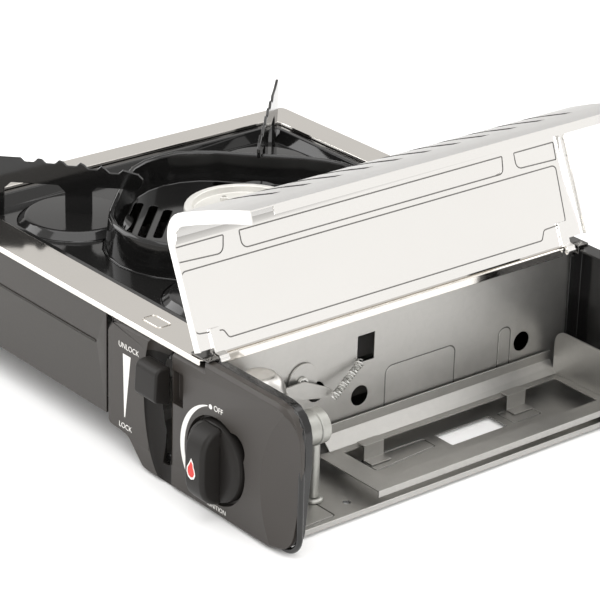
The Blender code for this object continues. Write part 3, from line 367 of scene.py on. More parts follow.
class Finish:
    """A material under construction."""

    def __init__(self, name):
        self.material = bpy.data.materials.new(name)
        self.material.use_nodes = True
        self.tree = self.material.node_tree
        self.shader = next(n for n in self.tree.nodes if n.type == "BSDF_PRINCIPLED")

    def node(self, kind, settings=None, inputs=None):
        """Any node: its settings first, a ramp's stops among them, then its sockets' values or links."""
        made = self.tree.nodes.new(kind)
        for key, value in (settings or {}).items():
            if key == "stops":
                self.set_stops(made.color_ramp, value)
            else:
                setattr(made, key, value)
        for key, value in (inputs or {}).items():
            self.feed(made.inputs[key], value)
        return made

    def set_stops(self, ramp, stops):
        while len(ramp.elements) < len(stops):
            ramp.elements.new(1.0)
        for element, (position, colour) in zip(ramp.elements, stops):
            element.position = position
            element.color = (*colour, 1.0)

    def feed(self, socket, value):
        if isinstance(value, Wire):
            self.tree.links.new(value.socket, socket)
        elif isinstance(value, bpy.types.NodeSocket):
            self.tree.links.new(value, socket)
        elif isinstance(value, tuple) and len(value) == 3 and socket.type == "RGBA":
            socket.default_value = (*value, 1.0)
        else:
            socket.default_value = value

    def place(self, stretch=(1.0, 1.0, 1.0)):
        where = self.node("ShaderNodeTexCoord").outputs["Object"]
        return self.node("ShaderNodeMapping", None, {"Vector": where, "Scale": stretch}).outputs[0]

    def noise(self, scale, detail=3.0, stretch=(1.0, 1.0, 1.0)):
        inputs = {"Vector": self.place(stretch), "Scale": scale, "Detail": detail}
        return Wire(self, self.node("ShaderNodeTexNoise", None, inputs).outputs[0])

    def cells(self, scale):
        inputs = {"Vector": self.place(), "Scale": scale}
        made = self.node("ShaderNodeTexVoronoi", None, inputs)
        split = self.node("ShaderNodeSeparateColor", None, {0: made.outputs["Color"]})
        return Wire(self, split.outputs[0])

    def between(self, factor, first, second):
        """A colour between two colours."""
        settings = {"data_type": "RGBA", "clamp_factor": True}
        made = self.node("ShaderNodeMix", settings, {0: factor, 6: first, 7: second})
        return made.outputs[2]

    def bump(self, height, distance, strength=1.0, normal=None):
        inputs = {"Height": height, "Distance": distance * MM, "Strength": strength}
        if normal is not None:
            inputs["Normal"] = normal
        return self.node("ShaderNodeBump", None, inputs).outputs[0]

    def edge(self, low=0.5, high=0.56):
        """1 along the sharp outer edges, 0 elsewhere."""
        point = self.node("ShaderNodeNewGeometry").outputs["Pointiness"]
        settings = {"stops": [(low, (0, 0, 0)), (high, (1, 1, 1))]}
        return Wire(self, self.node("ShaderNodeValToRGB", settings, {0: point}).outputs[0])

    def crease(self, low=0.42, high=0.485):
        """1 in the sharp inner corners, 0 elsewhere: the mask for painted shade in creases."""
        point = self.node("ShaderNodeNewGeometry").outputs["Pointiness"]
        settings = {"stops": [(low, (1, 1, 1)), (high, (0, 0, 0))]}
        return Wire(self, self.node("ShaderNodeValToRGB", settings, {0: point}).outputs[0])

    def facing(self, direction, least):
        """1 where the piece's own surface faces the direction, 0 elsewhere."""
        normal = self.node("ShaderNodeTexCoord").outputs["Normal"]
        settings = {"operation": "DOT_PRODUCT"}
        made = self.node("ShaderNodeVectorMath", settings, {0: normal, 1: tuple(direction)})
        return Wire(self, made.outputs["Value"]) > least

    def set(self, **values):
        names = {
            "specular": "Specular IOR Level",
            "colour": "Base Color",
            "rough": "Roughness",
            "metal": "Metallic",
            "ior": "IOR",
            "normal": "Normal",
        }
        for key, value in values.items():
            self.feed(self.shader.inputs[names[key]], value)
        return self.material


def polished_steel(name, colour, shade, low, high, satin=None):
    """Rolled stainless sheet: fine lines along the depth, cloudy polish, faint smears and painted shade in
    the creases.

    satin gives a direction; the faces that look that way keep the mill's dull finish, which is real, and
    are darkened to 0.6 of the colour, which is painted shade against the overhead light.
    """
    made = Finish(name)
    lines = made.noise(900.0, 2.0, (1.0, 0.03, 1.0))
    clouds = made.noise(9.0, 4.0)
    smears = made.noise(38.0, 5.0, (1.0, 0.35, 1.0))
    tone = made.between(clouds * 0.7 + smears * 0.3, shade, colour)
    # painted shade: the steel darkens towards (0.16, 0.155, 0.15) in sharp inner corners
    tone = made.between(made.crease() * 0.75, tone, (0.16, 0.155, 0.15))
    rough = lines * 0.03 + smears * (high - low) + low
    # faces turned to the satin direction: rougher (the real mill finish) and darker in colour (painted
    # shade)
    if satin is not None:
        satin_and_shade_side = made.facing(satin, 0.35)
        tone = made.between(satin_and_shade_side, tone, tuple(channel * 0.6 for channel in colour))
        rough = rough + satin_and_shade_side * 0.2
    return made.set(colour=tone, metal=1.0, rough=rough, normal=made.bump(lines, 0.008, 0.25))


def galvanised_steel(name, light=(0.52, 0.51, 0.49), dark=(0.39, 0.385, 0.37), low=0.34):
    """Zinc-coated sheet: a faint spangle, rolling lines, a dull satin surface and painted shade in the
    creases.
    """
    made = Finish(name)
    crystals = made.cells(300.0)
    fine = made.noise(1400.0, 3.0)
    clouds = made.noise(16.0, 3.0)
    tone = made.between(crystals * 0.15 + clouds * 0.6 + fine * 0.25, dark, light)
    # painted shade: the zinc darkens towards (0.1, 0.1, 0.09) in sharp inner corners
    tone = made.between(made.crease() * 0.6, tone, (0.1, 0.1, 0.09))
    rough = crystals * 0.03 + fine * 0.06 + clouds * 0.06 + low
    return made.set(colour=tone, metal=1.0, rough=rough, normal=made.bump(fine, 0.012, 0.5))


def baked_paint(name, colour, shade):
    """Stoved paint on steel: a slight orange peel and paler worn edges."""
    made = Finish(name)
    peel = made.noise(620.0, 2.0)
    clouds = made.noise(14.0, 4.0)
    worn = made.edge(0.55, 0.66) * made.noise(160.0, 4.0)
    tone = made.between(worn * 0.35, made.between(clouds, shade, colour), (0.12, 0.115, 0.11))
    rough = peel * 0.08 + clouds * 0.1 + 0.36
    return made.set(colour=tone, rough=rough, specular=0.4, normal=made.bump(peel, 0.02, 0.5))


def glossy_enamel(name, rough=0.05, wave=0.08):
    """Black vitreous enamel: a deep gloss with a faint ripple and dust in the low places."""
    made = Finish(name)
    ripple = made.noise(75.0, 2.0)
    dust = made.noise(700.0, 3.0)
    clouds = made.noise(12.0, 3.0)
    tone = made.between(clouds * dust, (0.004, 0.004, 0.004), (0.014, 0.0135, 0.013))
    level = dust * 0.05 + clouds * 0.05 + rough
    return made.set(colour=tone, rough=level, ior=1.5, normal=made.bump(ripple, wave, 0.35))


def cast_metal(name, light, dark, metal, rough, grain, height):
    """Cast or sintered metal: a sandy skin with soft blotches."""
    made = Finish(name)
    sand = made.noise(grain, 4.0)
    blotch = made.noise(70.0, 4.0)
    tone = made.between(blotch * 0.6 + sand * 0.4, dark, light)
    return made.set(
        colour=tone,
        metal=metal,
        rough=blotch * 0.14 + sand * 0.12 + rough,
        normal=made.bump(sand, height, 0.6),
    )


def moulded_plastic(name, colour, shade, rough, grain, height, specular=0.4):
    """Moulded plastic: a fine spark texture, and edges polished by handling."""
    made = Finish(name)
    spark = made.noise(grain, 2.0)
    clouds = made.noise(30.0, 3.0)
    handled = made.edge(0.52, 0.6)
    tone = made.between(clouds, shade, colour)
    level = spark * 0.1 + clouds * 0.06 + rough - handled * 0.12
    return made.set(colour=tone, rough=level, specular=specular, normal=made.bump(spark, height, 0.45))


def printed_ink(name, colour, shade):
    """Screen-printed ink with thin spots."""
    made = Finish(name)
    thin = made.noise(900.0, 3.0)
    tone = made.between(thin, shade, colour)
    return made.set(colour=tone, rough=thin * 0.1 + 0.45)


def studio_floor(name, colour):
    made = Finish(name)
    clouds = made.noise(3.0, 2.0)
    pale = tuple(channel * 0.985 for channel in colour)
    return made.set(colour=made.between(clouds, colour, pale), rough=clouds * 0.1 + 0.7)


FINISHES = {}
KNOB_SHEEN = 0.22
STEELS = {
    # LID_UP: the lid faces that get the rougher satin finish and a painted-shade darkening
    "lid_steel": ("Lid steel", (0.93, 0.92, 0.9), (0.87, 0.86, 0.84), 0.07, 0.15, LID_UP),
    "dark_steel": ("Hinge steel", (0.16, 0.155, 0.15), (0.09, 0.088, 0.085), 0.08, 0.16),
    # painted shade for the lid's pressed lines
    "crease_steel": ("Crease steel", (0.34, 0.33, 0.32), (0.22, 0.215, 0.21), 0.3, 0.4),
    "satin_steel": ("Dome steel", (0.6, 0.585, 0.56), (0.5, 0.49, 0.47), 0.24, 0.34),
}
CASTINGS = {
    "zinc_casting": ("Zinc casting", (0.5, 0.5, 0.47), (0.3, 0.3, 0.28), 0.8, 0.3, 380.0, 0.05),
    "burner_metal": ("Burner metal", (0.74, 0.73, 0.7), (0.55, 0.54, 0.51), 0.55, 0.34, 520.0, 0.04),
    "brass": ("Brass", (0.78, 0.56, 0.24), (0.6, 0.42, 0.17), 1.0, 0.22, 300.0, 0.02),
    "ceramic": ("Ceramic", (0.85, 0.83, 0.78), (0.75, 0.73, 0.68), 0.0, 0.25, 400.0, 0.02),
    "spring_steel": ("Spring steel", (0.7, 0.7, 0.68), (0.45, 0.45, 0.43), 1.0, 0.16, 260.0, 0.02),
}
PLASTICS = {
    "knob_plastic": (
        "Knob plastic", (0.014, 0.0125, 0.011), (0.009, 0.008, 0.0075), 0.4, 1300.0, 0.03, KNOB_SHEEN
    ),
    "rubber": ("Rubber", (0.02, 0.02, 0.02), (0.012, 0.012, 0.012), 0.6, 700.0, 0.03),
}
FIN_ANGLES = [math.radians(45.0 + 90.0 * quarter) for quarter in range(4)]
PAD_AWAY = 100.0
PAD_PROFILE = [(34.0, -8.9), (34.0, -8.4), (31.5, -6.4), (29.5, -4.4), (27.5, -3.8), (0.0, -3.7)]
GUARD_SLOTS = ((48.5, 22.0), (57.5, 26.0), (66.5, 28.0))  # distance from the burner's axis, half length
GUARD_SLOT_HALF = 2.4
FACET_X, FACET_Z, FACET_RADIUS = 116.0, -49.0, 66.0
CHANNEL_RIGHT = -25.6
CHANNEL_FILL = [(-46.2, -70.2), (-24.8, -70.2), (-24.8, -13.8), (-46.2, -13.8)]
BEAD_RADIUS = 1.7
BEAD_SETBACK = 5.6
LID_PRESSINGS = [
    [(1.5, 16, 3), (19, 14.2, 2), (21.5, 9.5, 2.5), (246, 9.5, 2.5), (249, 15, 2), (266.5, 15.6, 3)]
    + [(268.5, 49.5, 3), (1.5, 49.5, 3)],
    [(-0.2, 54.0, 1), (30.5, 52.6, 5), (33.5, 62.5, 1), (-0.2, 62.5, 1)],
    [(43.0, 62.5, 1), (42.6, 52.2, 4), (229, 52.2, 4), (231.0, 62.5, 1)],
    [(239.3, 62.5, 1), (238.8, 52.6, 4), (270, 51.8, 1), (270.6, 62.5, 1)],
]
KNOB_DISC = [(22.9, -3.8), (22.9, -1.0), (22.3, 1.4), (20.5, 2.9), (17.0, 3.6), (0.0, 3.9)]
KNOB_DOME = [(22.2, 0.6), (22.0, 3.0), (21.2, 6.4), (19.4, 9.6), (16.4, 12.4), (12.4, 14.2), (7.0, 14.9)]
CRESCENT_RADIUS, CRESCENT_START, CRESCENT_SWEEP, CRESCENT_STEPS = 30.2, 104, 138, 40
WORDS = (
    ("UNLOCK", -64.2, -18.2, 3.3),
    ("LOCK", -67.2, -65.8, 3.3),
    ("OFF", 14.4, -23.6, 3.3),
    ("IGNITION", 14.0, -80.2, 2.7),
)
FLAME = [(0.0, 5.2), (-1.4, 2.6), (-2.7, 0.6), (-2.9, -1.6), (-1.9, -3.6), (0.0, -4.4), (1.9, -3.6)]
FLAME += [(2.8, -1.6), (2.2, 0.6), (1.6, 1.4), (1.4, 3.2)]
FLAME_LAYERS = (("flame_outline", 1.28, 0.05, "white_ink"), ("flame_sign", 1.0, 0.1, "red_ink"))


# ---------------------------------------------------------------- settings


class StoveSizes(bpy.types.PropertyGroup):
    """Small sizes of the visible pieces, in metres."""

    pressing_depth: bpy.props.FloatProperty(
        name="Lid pressing depth",
        description="How deep the stiffening panels are pressed into the lid",
        default=0.00045,
        unit="LENGTH",
    )
    edge_round: bpy.props.FloatProperty(
        name="Sheet edge rounding",
        description="Rounding along the edges of sheet metal",
        default=0.0004,
        unit="LENGTH",
    )
    print_height: bpy.props.FloatProperty(
        name="Print thickness",
        description="How far the printed ink stands off the control panel",
        default=0.00006,
        unit="LENGTH",
    )
    facet_slope: bpy.props.FloatProperty(
        name="Panel facet slope",
        description="Rise over run of the crescent facet at the right of the control panel",
        default=0.17,
    )


class StoveColours(bpy.types.PropertyGroup):
    """Colours a user may change."""

    panel: bpy.props.FloatVectorProperty(
        name="Control panel",
        description="Colour of the control panel's plastic",
        default=(0.036, 0.031, 0.027),
        size=3,
        subtype="COLOR",
    )
    paint: bpy.props.FloatVectorProperty(
        name="Burner box",
        description="Colour of the burner box's paint",
        default=(0.038, 0.034, 0.030),
        size=3,
        subtype="COLOR",
    )
    plate: bpy.props.FloatVectorProperty(
        name="Top plate",
        description="Tone of the top plate's steel",
        default=(0.82, 0.79, 0.745),
        size=3,
        subtype="COLOR",
    )
    floor: bpy.props.FloatVectorProperty(
        name="Floor",
        description="Colour of the studio floor",
        default=(0.93, 0.93, 0.93),
        size=3,
        subtype="COLOR",
    )


# ---------------------------------------------------------------- operators


class StoveOperator(bpy.types.Operator):
    """Shared by every piece of the stove."""

    bl_options = {"REGISTER"}

    def execute(self, context):
        self.build(context.scene.stove_sizes, context.scene.stove_colours)
        return {"FINISHED"}


class STOVE_OT_finishes(StoveOperator):
    """Mix the stove's finishes and paint every frame node with them"""

    bl_idname = "stove.finishes"
    bl_label = "Finishes"

    def build(self, sizes, colours):
        panel = tuple(colours.panel)
        paint = tuple(colours.paint)
        plate = tuple(colours.plate)
        dim = tuple(channel * 0.86 for channel in plate)
        recipes = ((polished_steel, STEELS), (cast_metal, CASTINGS), (moulded_plastic, PLASTICS))
        for recipe, table in recipes:
            for key, values in table.items():
                FINISHES[key] = recipe(*values)
        panel_shade = tuple(channel * 0.82 for channel in panel)
        paint_shade = tuple(channel * 0.8 for channel in paint)
        FINISHES.update(
            {
                "polished_stainless": polished_steel("Plate steel", plate, dim, 0.05, 0.1),
                "galvanised_steel": galvanised_steel("Galvanised sheet"),
                "crease_zinc": galvanised_steel("Groove shade zinc", (0.2, 0.2, 0.19), (0.14, 0.14, 0.13), 0.4),
                "box_paint": baked_paint("Box paint", paint, paint_shade),
                "louvre_shade": baked_paint("Louvre shade", (0.1, 0.097, 0.093), (0.06, 0.058, 0.055)),
                "black_steel": glossy_enamel("Black end plates", 0.1, 0.02),
                "black_enamel": glossy_enamel("Tray enamel"),
                "panel_plastic": moulded_plastic("Panel plastic", panel, panel_shade, 0.34, 1100.0, 0.02),
                "white_ink": printed_ink("White ink", (0.84, 0.83, 0.8), (0.72, 0.71, 0.68)),
                "red_ink": printed_ink("Red ink", (0.62, 0.03, 0.02), (0.5, 0.02, 0.015)),
            }
        )
        slots = {}
        for name, node in frame["nodes"].items():
            slots[name] = node.data.materials[0].name if node.data.materials else ""
        for name, node in frame["nodes"].items():
            material = FINISHES.get(slots[name].split(".")[0], FINISHES["galvanised_steel"])
            node.data.materials.clear()
            node.data.materials.append(material)
            for face in node.data.polygons:
                face.material_index = 0


class STOVE_OT_box(StoveOperator):
    """Burner box: painted shell, steel top plate with its stamp, and feet"""

    bl_idname = "stove.box"
    bl_label = "Burner box"

    def build(self, sizes, colours):
        shell = copy_of("body_shell", "box_shell")
        left, right, level = PLATE_LEFT + 30, -96, -24
        line = [(left, level), (right, level), (right, level - 1), (left, level - 1)]
        subtract(shell, slab("crease", line, -1.45, 0, FRONT))
        soften(shell, 0.6, 3)
        finish_piece(shell, "stove_body", FINISHES["box_paint"], ["body_shell"])
        plate = copy_of("top_plate", "plate_top")
        outer = rectangle(-62, 6.5, -46, 15.5, 2.4)
        inner = rectangle(-61.4, 7.1, -46.6, 14.9, 1.9)
        stamp = slab("stamp", outer, -0.2, 1.0, FLAT)
        subtract(stamp, slab("stamp_inner", inner, -1.0, 2.0, FLAT))
        subtract(plate, stamp)
        soften(plate, sizes.edge_round / MM, 3)
        steel = FINISHES["polished_stainless"]
        finish_piece(plate, "stove_body", steel, ["top_plate"])
        for end in ("front", "back"):
            foot = copy_of("foot_" + end, "rubber_foot_" + end)
            soften(foot, 0.5, 2)
            finish_piece(foot, "stove_body", FINISHES["rubber"], ["foot_" + end])


class STOVE_OT_tray(StoveOperator):
    """Enamelled drip tray, the guard round the burner and the four pan supports"""

    bl_idname = "stove.tray"
    bl_label = "Drip tray and pan supports"

    def build(self, sizes, colours):
        tray = copy_of("drip_tray", "tray_channel")
        for angle in FIN_ANGLES:
            across, along = PAD_AWAY * math.cos(angle), PAD_AWAY * math.sin(angle)
            pad = drum("pad", BURNER.x + across, BURNER.y + along, 0, PAD_PROFILE, FLAT, 48)
            subtract(tray, pad, "UNION")
        soften(tray, 0.7, 3, 20.0)
        finish_piece(tray, "drip_tray_lift", FINISHES["black_enamel"], ["drip_tray"])
        guard = copy_of("wind_guard", "burner_guard")
        for angle in FIN_ANGLES:
            outward = (math.cos(angle), math.sin(angle), 0)
            along = (-math.sin(angle), math.cos(angle), 0)
            place = axes(outward, along, (0, 0, 1), (BURNER.x, BURNER.y, 0))
            for away, half in GUARD_SLOTS:
                opening = rectangle(away - GUARD_SLOT_HALF, -half, away + GUARD_SLOT_HALF, half, 2.2)
                subtract(guard, slab("air_slot", opening, -14, -3, place))
        soften(guard, 0.7, 3, 20.0)
        finish_piece(guard, "drip_tray_lift", FINISHES["black_enamel"], ["wind_guard"])
        for corner in ("front_left", "front_right", "back_left", "back_right"):
            fin = copy_of("pan_support_" + corner, "pan_fin_" + corner)
            soften(fin, 0.45, 2)
            node = "pan_support_" + corner
            finish_piece(fin, "drip_tray_lift", FINISHES["black_enamel"], [node])


class STOVE_OT_burner(StoveOperator):
    """Burner cap with its recessed face and hollow posts"""

    bl_idname = "stove.burner"
    bl_label = "Burner"

    def build(self, sizes, colours):
        cap = copy_of("burner_cap", "burner_head")
        soften(cap, 0.6, 3)
        finish_piece(cap, "stove_body", FINISHES["burner_metal"], ["burner_cap"])
        for index in (1, 2, 3):
            node = f"burner_rivet_{index}"
            low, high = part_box(node)
            middle = ((low + high) / 2 - DATUM) / MM
            base = (low.z - DATUM.z) / MM
            top = (high.z - DATUM.z) / MM
            wall = [(2.4, 0), (2.4, top - base - 0.4), (2.1, top - base), (1.6, top - base)]
            wall += [(1.4, top - base - 0.4), (1.4, 0.8), (0.0, 0.6)]
            post = drum(f"burner_post_{index}", middle.x, middle.y, base, wall, sides=24)
            soften(post, 0.0)
            finish_piece(post, "stove_body", FINISHES["burner_metal"], [node])


class STOVE_OT_lid(StoveOperator):
    """Mirror-bright lid with its pressed panels, and the hinge fittings"""

    bl_idname = "stove.lid"
    bl_label = "Lid"

    def build(self, sizes, colours):
        lid = copy_of("lid_shell", "lid_sheet", whole_faces=False)
        depth = sizes.pressing_depth / MM
        for outline in LID_PRESSINGS:
            groove(lid, rounded(outline), depth)
        soften(lid, 0.0, angle=25.0)
        finish_piece(lid, "lid", FINISHES["lid_steel"], ["lid_shell"])
        # painted shade: the pressed lines' faces take a darker grey steel so they read as dark lines
        darken(lid, self.in_groove, FINISHES["crease_steel"])
        # painted shade: the louvre openings' walls take the dark louvre finish
        darken(lid, self.in_louvre, FINISHES["louvre_shade"])
        self.build_louvre_backs()
        for end in ("front", "rear"):
            knuckle = copy_of("lid_knuckle_" + end, "lid_hook_" + end)
            soften(knuckle, 0.12, 2)
            node = "lid_knuckle_" + end
            finish_piece(knuckle, "lid", FINISHES["lid_steel"], [node])
            bracket = copy_of("hinge_bracket_" + end, "hinge_cap_" + end)
            soften(bracket, 0.3, 3)
            node = "hinge_bracket_" + end
            finish_piece(bracket, "stove_body", FINISHES["dark_steel"], [node])

    def in_louvre(self, centre, normal):
        """Whether a face is a wall of one of the louvres' openings."""
        from_hinge = centre - HINGE
        out, up = from_hinge.dot(LID_OUT), from_hinge.dot(LID_UP)
        at_slots = abs(out - LOUVRE_LEVEL) < 15.5 and LID_REACH - 4.5 < up < LID_REACH + 0.6
        return at_slots and abs(normal.dot(LID_UP)) < 0.5 and 20 < centre.y < PLATE_DEPTH - 15

    def in_groove(self, centre, normal):
        """Whether a place is inside a pressed line of the lid."""
        from_hinge = centre - HINGE
        out, up = from_hinge.dot(LID_OUT), from_hinge.dot(LID_UP)
        in_sheet = LID_INNER_FACE - 0.62 < out < LID_INNER_FACE - 0.05
        return in_sheet and 5 < up < 64 and 0 < centre.y < PLATE_DEPTH

    def lean(self, hood):
        """Lets a hood follow the wall, which draws in towards its free edge."""
        for vertex in hood.data.vertices:
            out = ((vertex.co - DATUM) / MM - HINGE).dot(LID_OUT)
            share = max(0.0, (out + LID_WALL_START) / LID_WALL_SPAN)
            vertex.co -= LID_UP * (LID_TAPER * share**1.6 * MM)

    def build_louvre_backs(self):
        """Hoods behind the louvres, pressed out of the sheet, in a dark finish that is painted shade inside
        the openings.
        """
        backs = []
        for index in range(LOUVRES):
            y = LOUVRE_START + LOUVRE_PITCH * index
            lens = [(y + dy * 1.12, LOUVRE_LEVEL - dt * 1.06) for dy, dt in LOUVRE]
            hood = slab("hood", lens, -LID_REACH + 0.85, -LID_REACH + 1.6, LID_WALL)
            self.lean(hood)
            backs.append(hood)
        hoods = join("louvre_hoods", backs)
        soften(hoods, 0.15, 2)
        finish_piece(hoods, "lid", FINISHES["louvre_shade"])


def groove(sheet, outline, depth, place=LID_FACE, face=LID_INNER_FACE):
    """A narrow pressed line along the outline."""
    edge = slab("groove", outline, face - depth, face + 0.5, place)
    subtract(edge, slab("field", shrunk(outline, GROOVE), face - 1.5, face + 1.5, place))
    subtract(sheet, edge)


class STOVE_OT_panel(StoveOperator):
    """Control panel: crescent facet, lever channel with its scooped hollow and slot, the bead and the end
    plates
    """

    bl_idname = "stove.panel"
    bl_label = "Control panel"

    def build(self, sizes, colours):
        bezel = copy_of("front_bezel", "panel_face")
        slope = sizes.facet_slope
        front, back = 1.0, -5.2
        profile = [(FACET_RADIUS + front / slope, front), (FACET_RADIUS + back / slope, back)]
        subtract(bezel, drum("facet", FACET_X, 0, FACET_Z, profile, FRONT, 96))
        subtract(bezel, slab("fill", CHANNEL_FILL, -5.95, -0.01, FRONT), "UNION")
        subtract(bezel, self.scoop())
        subtract(bezel, slab("arm_slot", rectangle(-37.6, -75, -32.4, -14.5, 0.8, 2), -8, 2, FRONT))
        notch = ring(KNOB_AXIS.x + 15.5, KNOB_AXIS.z + 13.0, 8.6, 32)
        subtract(bezel, slab("notch", notch, -3.2, 2, FRONT))
        soften(bezel, 0.35, 3, 25.0)
        self.crisp(bezel)
        finish_piece(bezel, "stove_body", FINISHES["panel_plastic"], ["front_bezel"])
        # painted shade: the finger channel's hollow takes the knob's near-black plastic
        darken(bezel, self.in_channel, FINISHES["knob_plastic"])
        self.build_bead()
        for end in ("front", "rear"):
            plate = copy_of(end + "_end_plate", end + "_end_cap")
            soften(plate, 0.35, 3)
            node = end + "_end_plate"
            finish_piece(plate, "stove_body", FINISHES["black_steel"], [node])

    def in_channel(self, centre, normal):
        """Whether a face is part of the finger channel's hollow, where shade is painted."""
        in_width = -50.6 < centre.x < CHANNEL_RIGHT + 0.1
        return in_width and -86 < centre.z < -10 and 0.1 < centre.y < 6.2 and normal.y < 0.5

    def build_bead(self):
        """The end plate's rolled bead, which shows round the panel's top and right edges."""
        right, low = PANEL_RIGHT - 2.0, PANEL_LOW + 2.0
        path = rounded([(3.0, -2.0, 0), (right, -2.0, 14), (right, low, 10.5), (55, low, 0)], 8)
        deselect()
        bpy.ops.curve.primitive_bezier_circle_add(radius=BEAD_RADIUS * MM)
        section = bpy.context.object
        section.data.resolution_u = 5
        bpy.ops.curve.primitive_nurbs_path_add()
        bead = bpy.context.object
        bead.data.splines.clear()
        spline = bead.data.splines.new("POLY")
        spline.points.add(len(path) - 1)
        for point, (x, z) in zip(spline.points, path):
            point.co = (*world(x, BEAD_SETBACK, z), 1.0)
        bead.location = (0, 0, 0)
        bead.data.dimensions = "3D"
        bead.data.bevel_mode = "OBJECT"
        bead.data.bevel_object = section
        bead.data.use_fill_caps = True
        activate(bead)
        bpy.ops.object.convert(target="MESH")
        bead = bpy.context.object
        bead.name = "panel_bead"
        bpy.data.objects.remove(section)
        soften(bead, 0.0)
        finish_piece(bead, "stove_body", FINISHES["black_steel"])

    def crisp(self, bezel):
        """Keeps the facet's edge sharp in the smooth shading."""
        middle = world(FACET_X, 0, FACET_Z)
        for edge in bezel.data.edges:
            ends = [bezel.data.vertices[i].co for i in edge.vertices]
            away = [math.hypot(end.x - middle.x, end.z - middle.z) / MM for end in ends]
            on_edge = all(abs(distance - FACET_RADIUS) < 0.9 for distance in away)
            if on_edge and ends[0].y < DATUM.y + 0.3 * MM:
                edge.use_edge_sharp = True

    def scoop(self):
        """The finger channel's hollow: part of a long ellipsoid, cut off at the right."""
        deselect()
        bpy.ops.mesh.primitive_uv_sphere_add(segments=64, ring_count=32, radius=MM)
        piece = bpy.context.object
        edit(piece)
        bpy.ops.transform.resize(value=(20.5, 7.4, 50.0))
        bpy.ops.transform.translate(value=world(-30.0, -0.2, -35.0))
        bpy.ops.mesh.select_all(action="SELECT")
        edge = world(CHANNEL_RIGHT, 0, 0)
        bpy.ops.mesh.bisect(plane_co=edge, plane_no=(1, 0, 0), clear_outer=True, use_fill=True)
        bpy.ops.mesh.select_all(action="SELECT")
        bpy.ops.mesh.normals_make_consistent(inside=False)
        leave()
        return piece


class STOVE_OT_controls(StoveOperator):
    """Ignition knob and the lever's grip"""

    bl_idname = "stove.controls"
    bl_label = "Knob and lever"

    def build(self, sizes, colours):
        place = (KNOB_AXIS.x, 0, KNOB_AXIS.z)
        knob = drum("dial", *place, KNOB_DISC, FRONT, 72)
        outline = [(KNOB_AXIS.z + height, out) for height, out in KNOB_DOME]
        outline += [(KNOB_AXIS.z - height, out) for height, out in reversed(KNOB_DOME)]
        half = KNOB_RIDGE / 2
        ridge = slab("ridge", outline, KNOB_AXIS.x - half, KNOB_AXIS.x + half, UPRIGHT)
        soften(ridge, 2.6, 5, 50.0)
        line = rectangle(KNOB_AXIS.x + 8.0, KNOB_AXIS.z - 15, KNOB_AXIS.x + 8.8, KNOB_AXIS.z + 12, 0.3, 2)
        subtract(knob, slab("line", line, 2.9, 6.0, FRONT))
        soften(knob, 0.25, 2, 32.0)
        knob = join("dial", [knob, ridge])
        finish_piece(knob, "knob", FINISHES["knob_plastic"], ["ignition_knob"])
        grip = copy_of("lever_grip", "grip_cap")
        soften(grip, 1.4, 4)
        finish_piece(grip, "lever", FINISHES["knob_plastic"], ["lever_grip"])
        arm = copy_of("lever_arm", "lever_blade")
        soften(arm, 0.25, 2)
        finish_piece(arm, "lever", FINISHES["galvanised_steel"], ["lever_arm"])


class STOVE_OT_print(StoveOperator):
    """Printed words and signs on the control panel and the knob's flame"""

    bl_idname = "stove.print"
    bl_label = "Panel print"

    def build(self, sizes, colours):
        rise = sizes.print_height / MM
        marks = []
        for word, x, z, size in WORDS:
            marks.append(self.word(word, x, z, size, rise))
        wedge = [(-69.4, -21.4), (-68.2, -58.8), (-67.4, -58.8), (-62.4, -21.4)]
        marks.append(slab("wedge", wedge[::-1], 0.0, rise, FRONT))
        marks.append(slab("dot", ring(7.8, -22.6, 1.4, 20), 0.0, rise, FRONT))
        marks.append(slab("crescent", self.crescent(), 0.0, rise, FRONT))
        marks.append(slab("tick", rectangle(-1.8, -79.2, 0.8, -78.4, 0.2, 2), 0.0, rise, FRONT))
        printed = join("panel_print", marks)
        finish_piece(printed, "stove_body", FINISHES["white_ink"])
        for name, grow, lift, ink in FLAME_LAYERS:
            outline = [(KNOB_AXIS.x - 1.0 + x * grow, KNOB_AXIS.z - 1.0 + z * grow) for x, z in FLAME]
            sign = slab(name, outline, -KNOB_REACH - 0.1, -KNOB_REACH + lift, FRONT)
            soften(sign, 0.02, 1)
            finish_piece(sign, "knob", FINISHES[ink])

    def crescent(self):
        """The printed arc round the knob, thick in its middle and pointed at its ends."""
        start, sweep, steps = CRESCENT_START, CRESCENT_SWEEP, CRESCENT_STEPS
        outer = ring(KNOB_AXIS.x, KNOB_AXIS.z, CRESCENT_RADIUS, steps, start, sweep)
        inner = []
        for i in range(steps + 1):
            reach = CRESCENT_RADIUS - 0.5 - 3.2 * math.sin(math.pi * i / steps)
            angle = math.radians(start + sweep * i / steps)
            inner.append((KNOB_AXIS.x + reach * math.cos(angle), KNOB_AXIS.z + reach * math.sin(angle)))
        return outer + inner[::-1]

    def word(self, text, x, z, size, rise):
        deselect()
        bpy.ops.object.text_add()
        made = bpy.context.object
        made.data.body = text
        made.data.size = size * MM * 1.35
        made.data.align_x = "CENTER"
        made.data.extrude = rise * MM / 2
        bpy.ops.object.convert(target="MESH")
        made = bpy.context.object
        made.data.transform(Matrix.Translation((x * MM, z * MM, rise * MM / 2)))
        made.data.transform(FRONT)
        return made


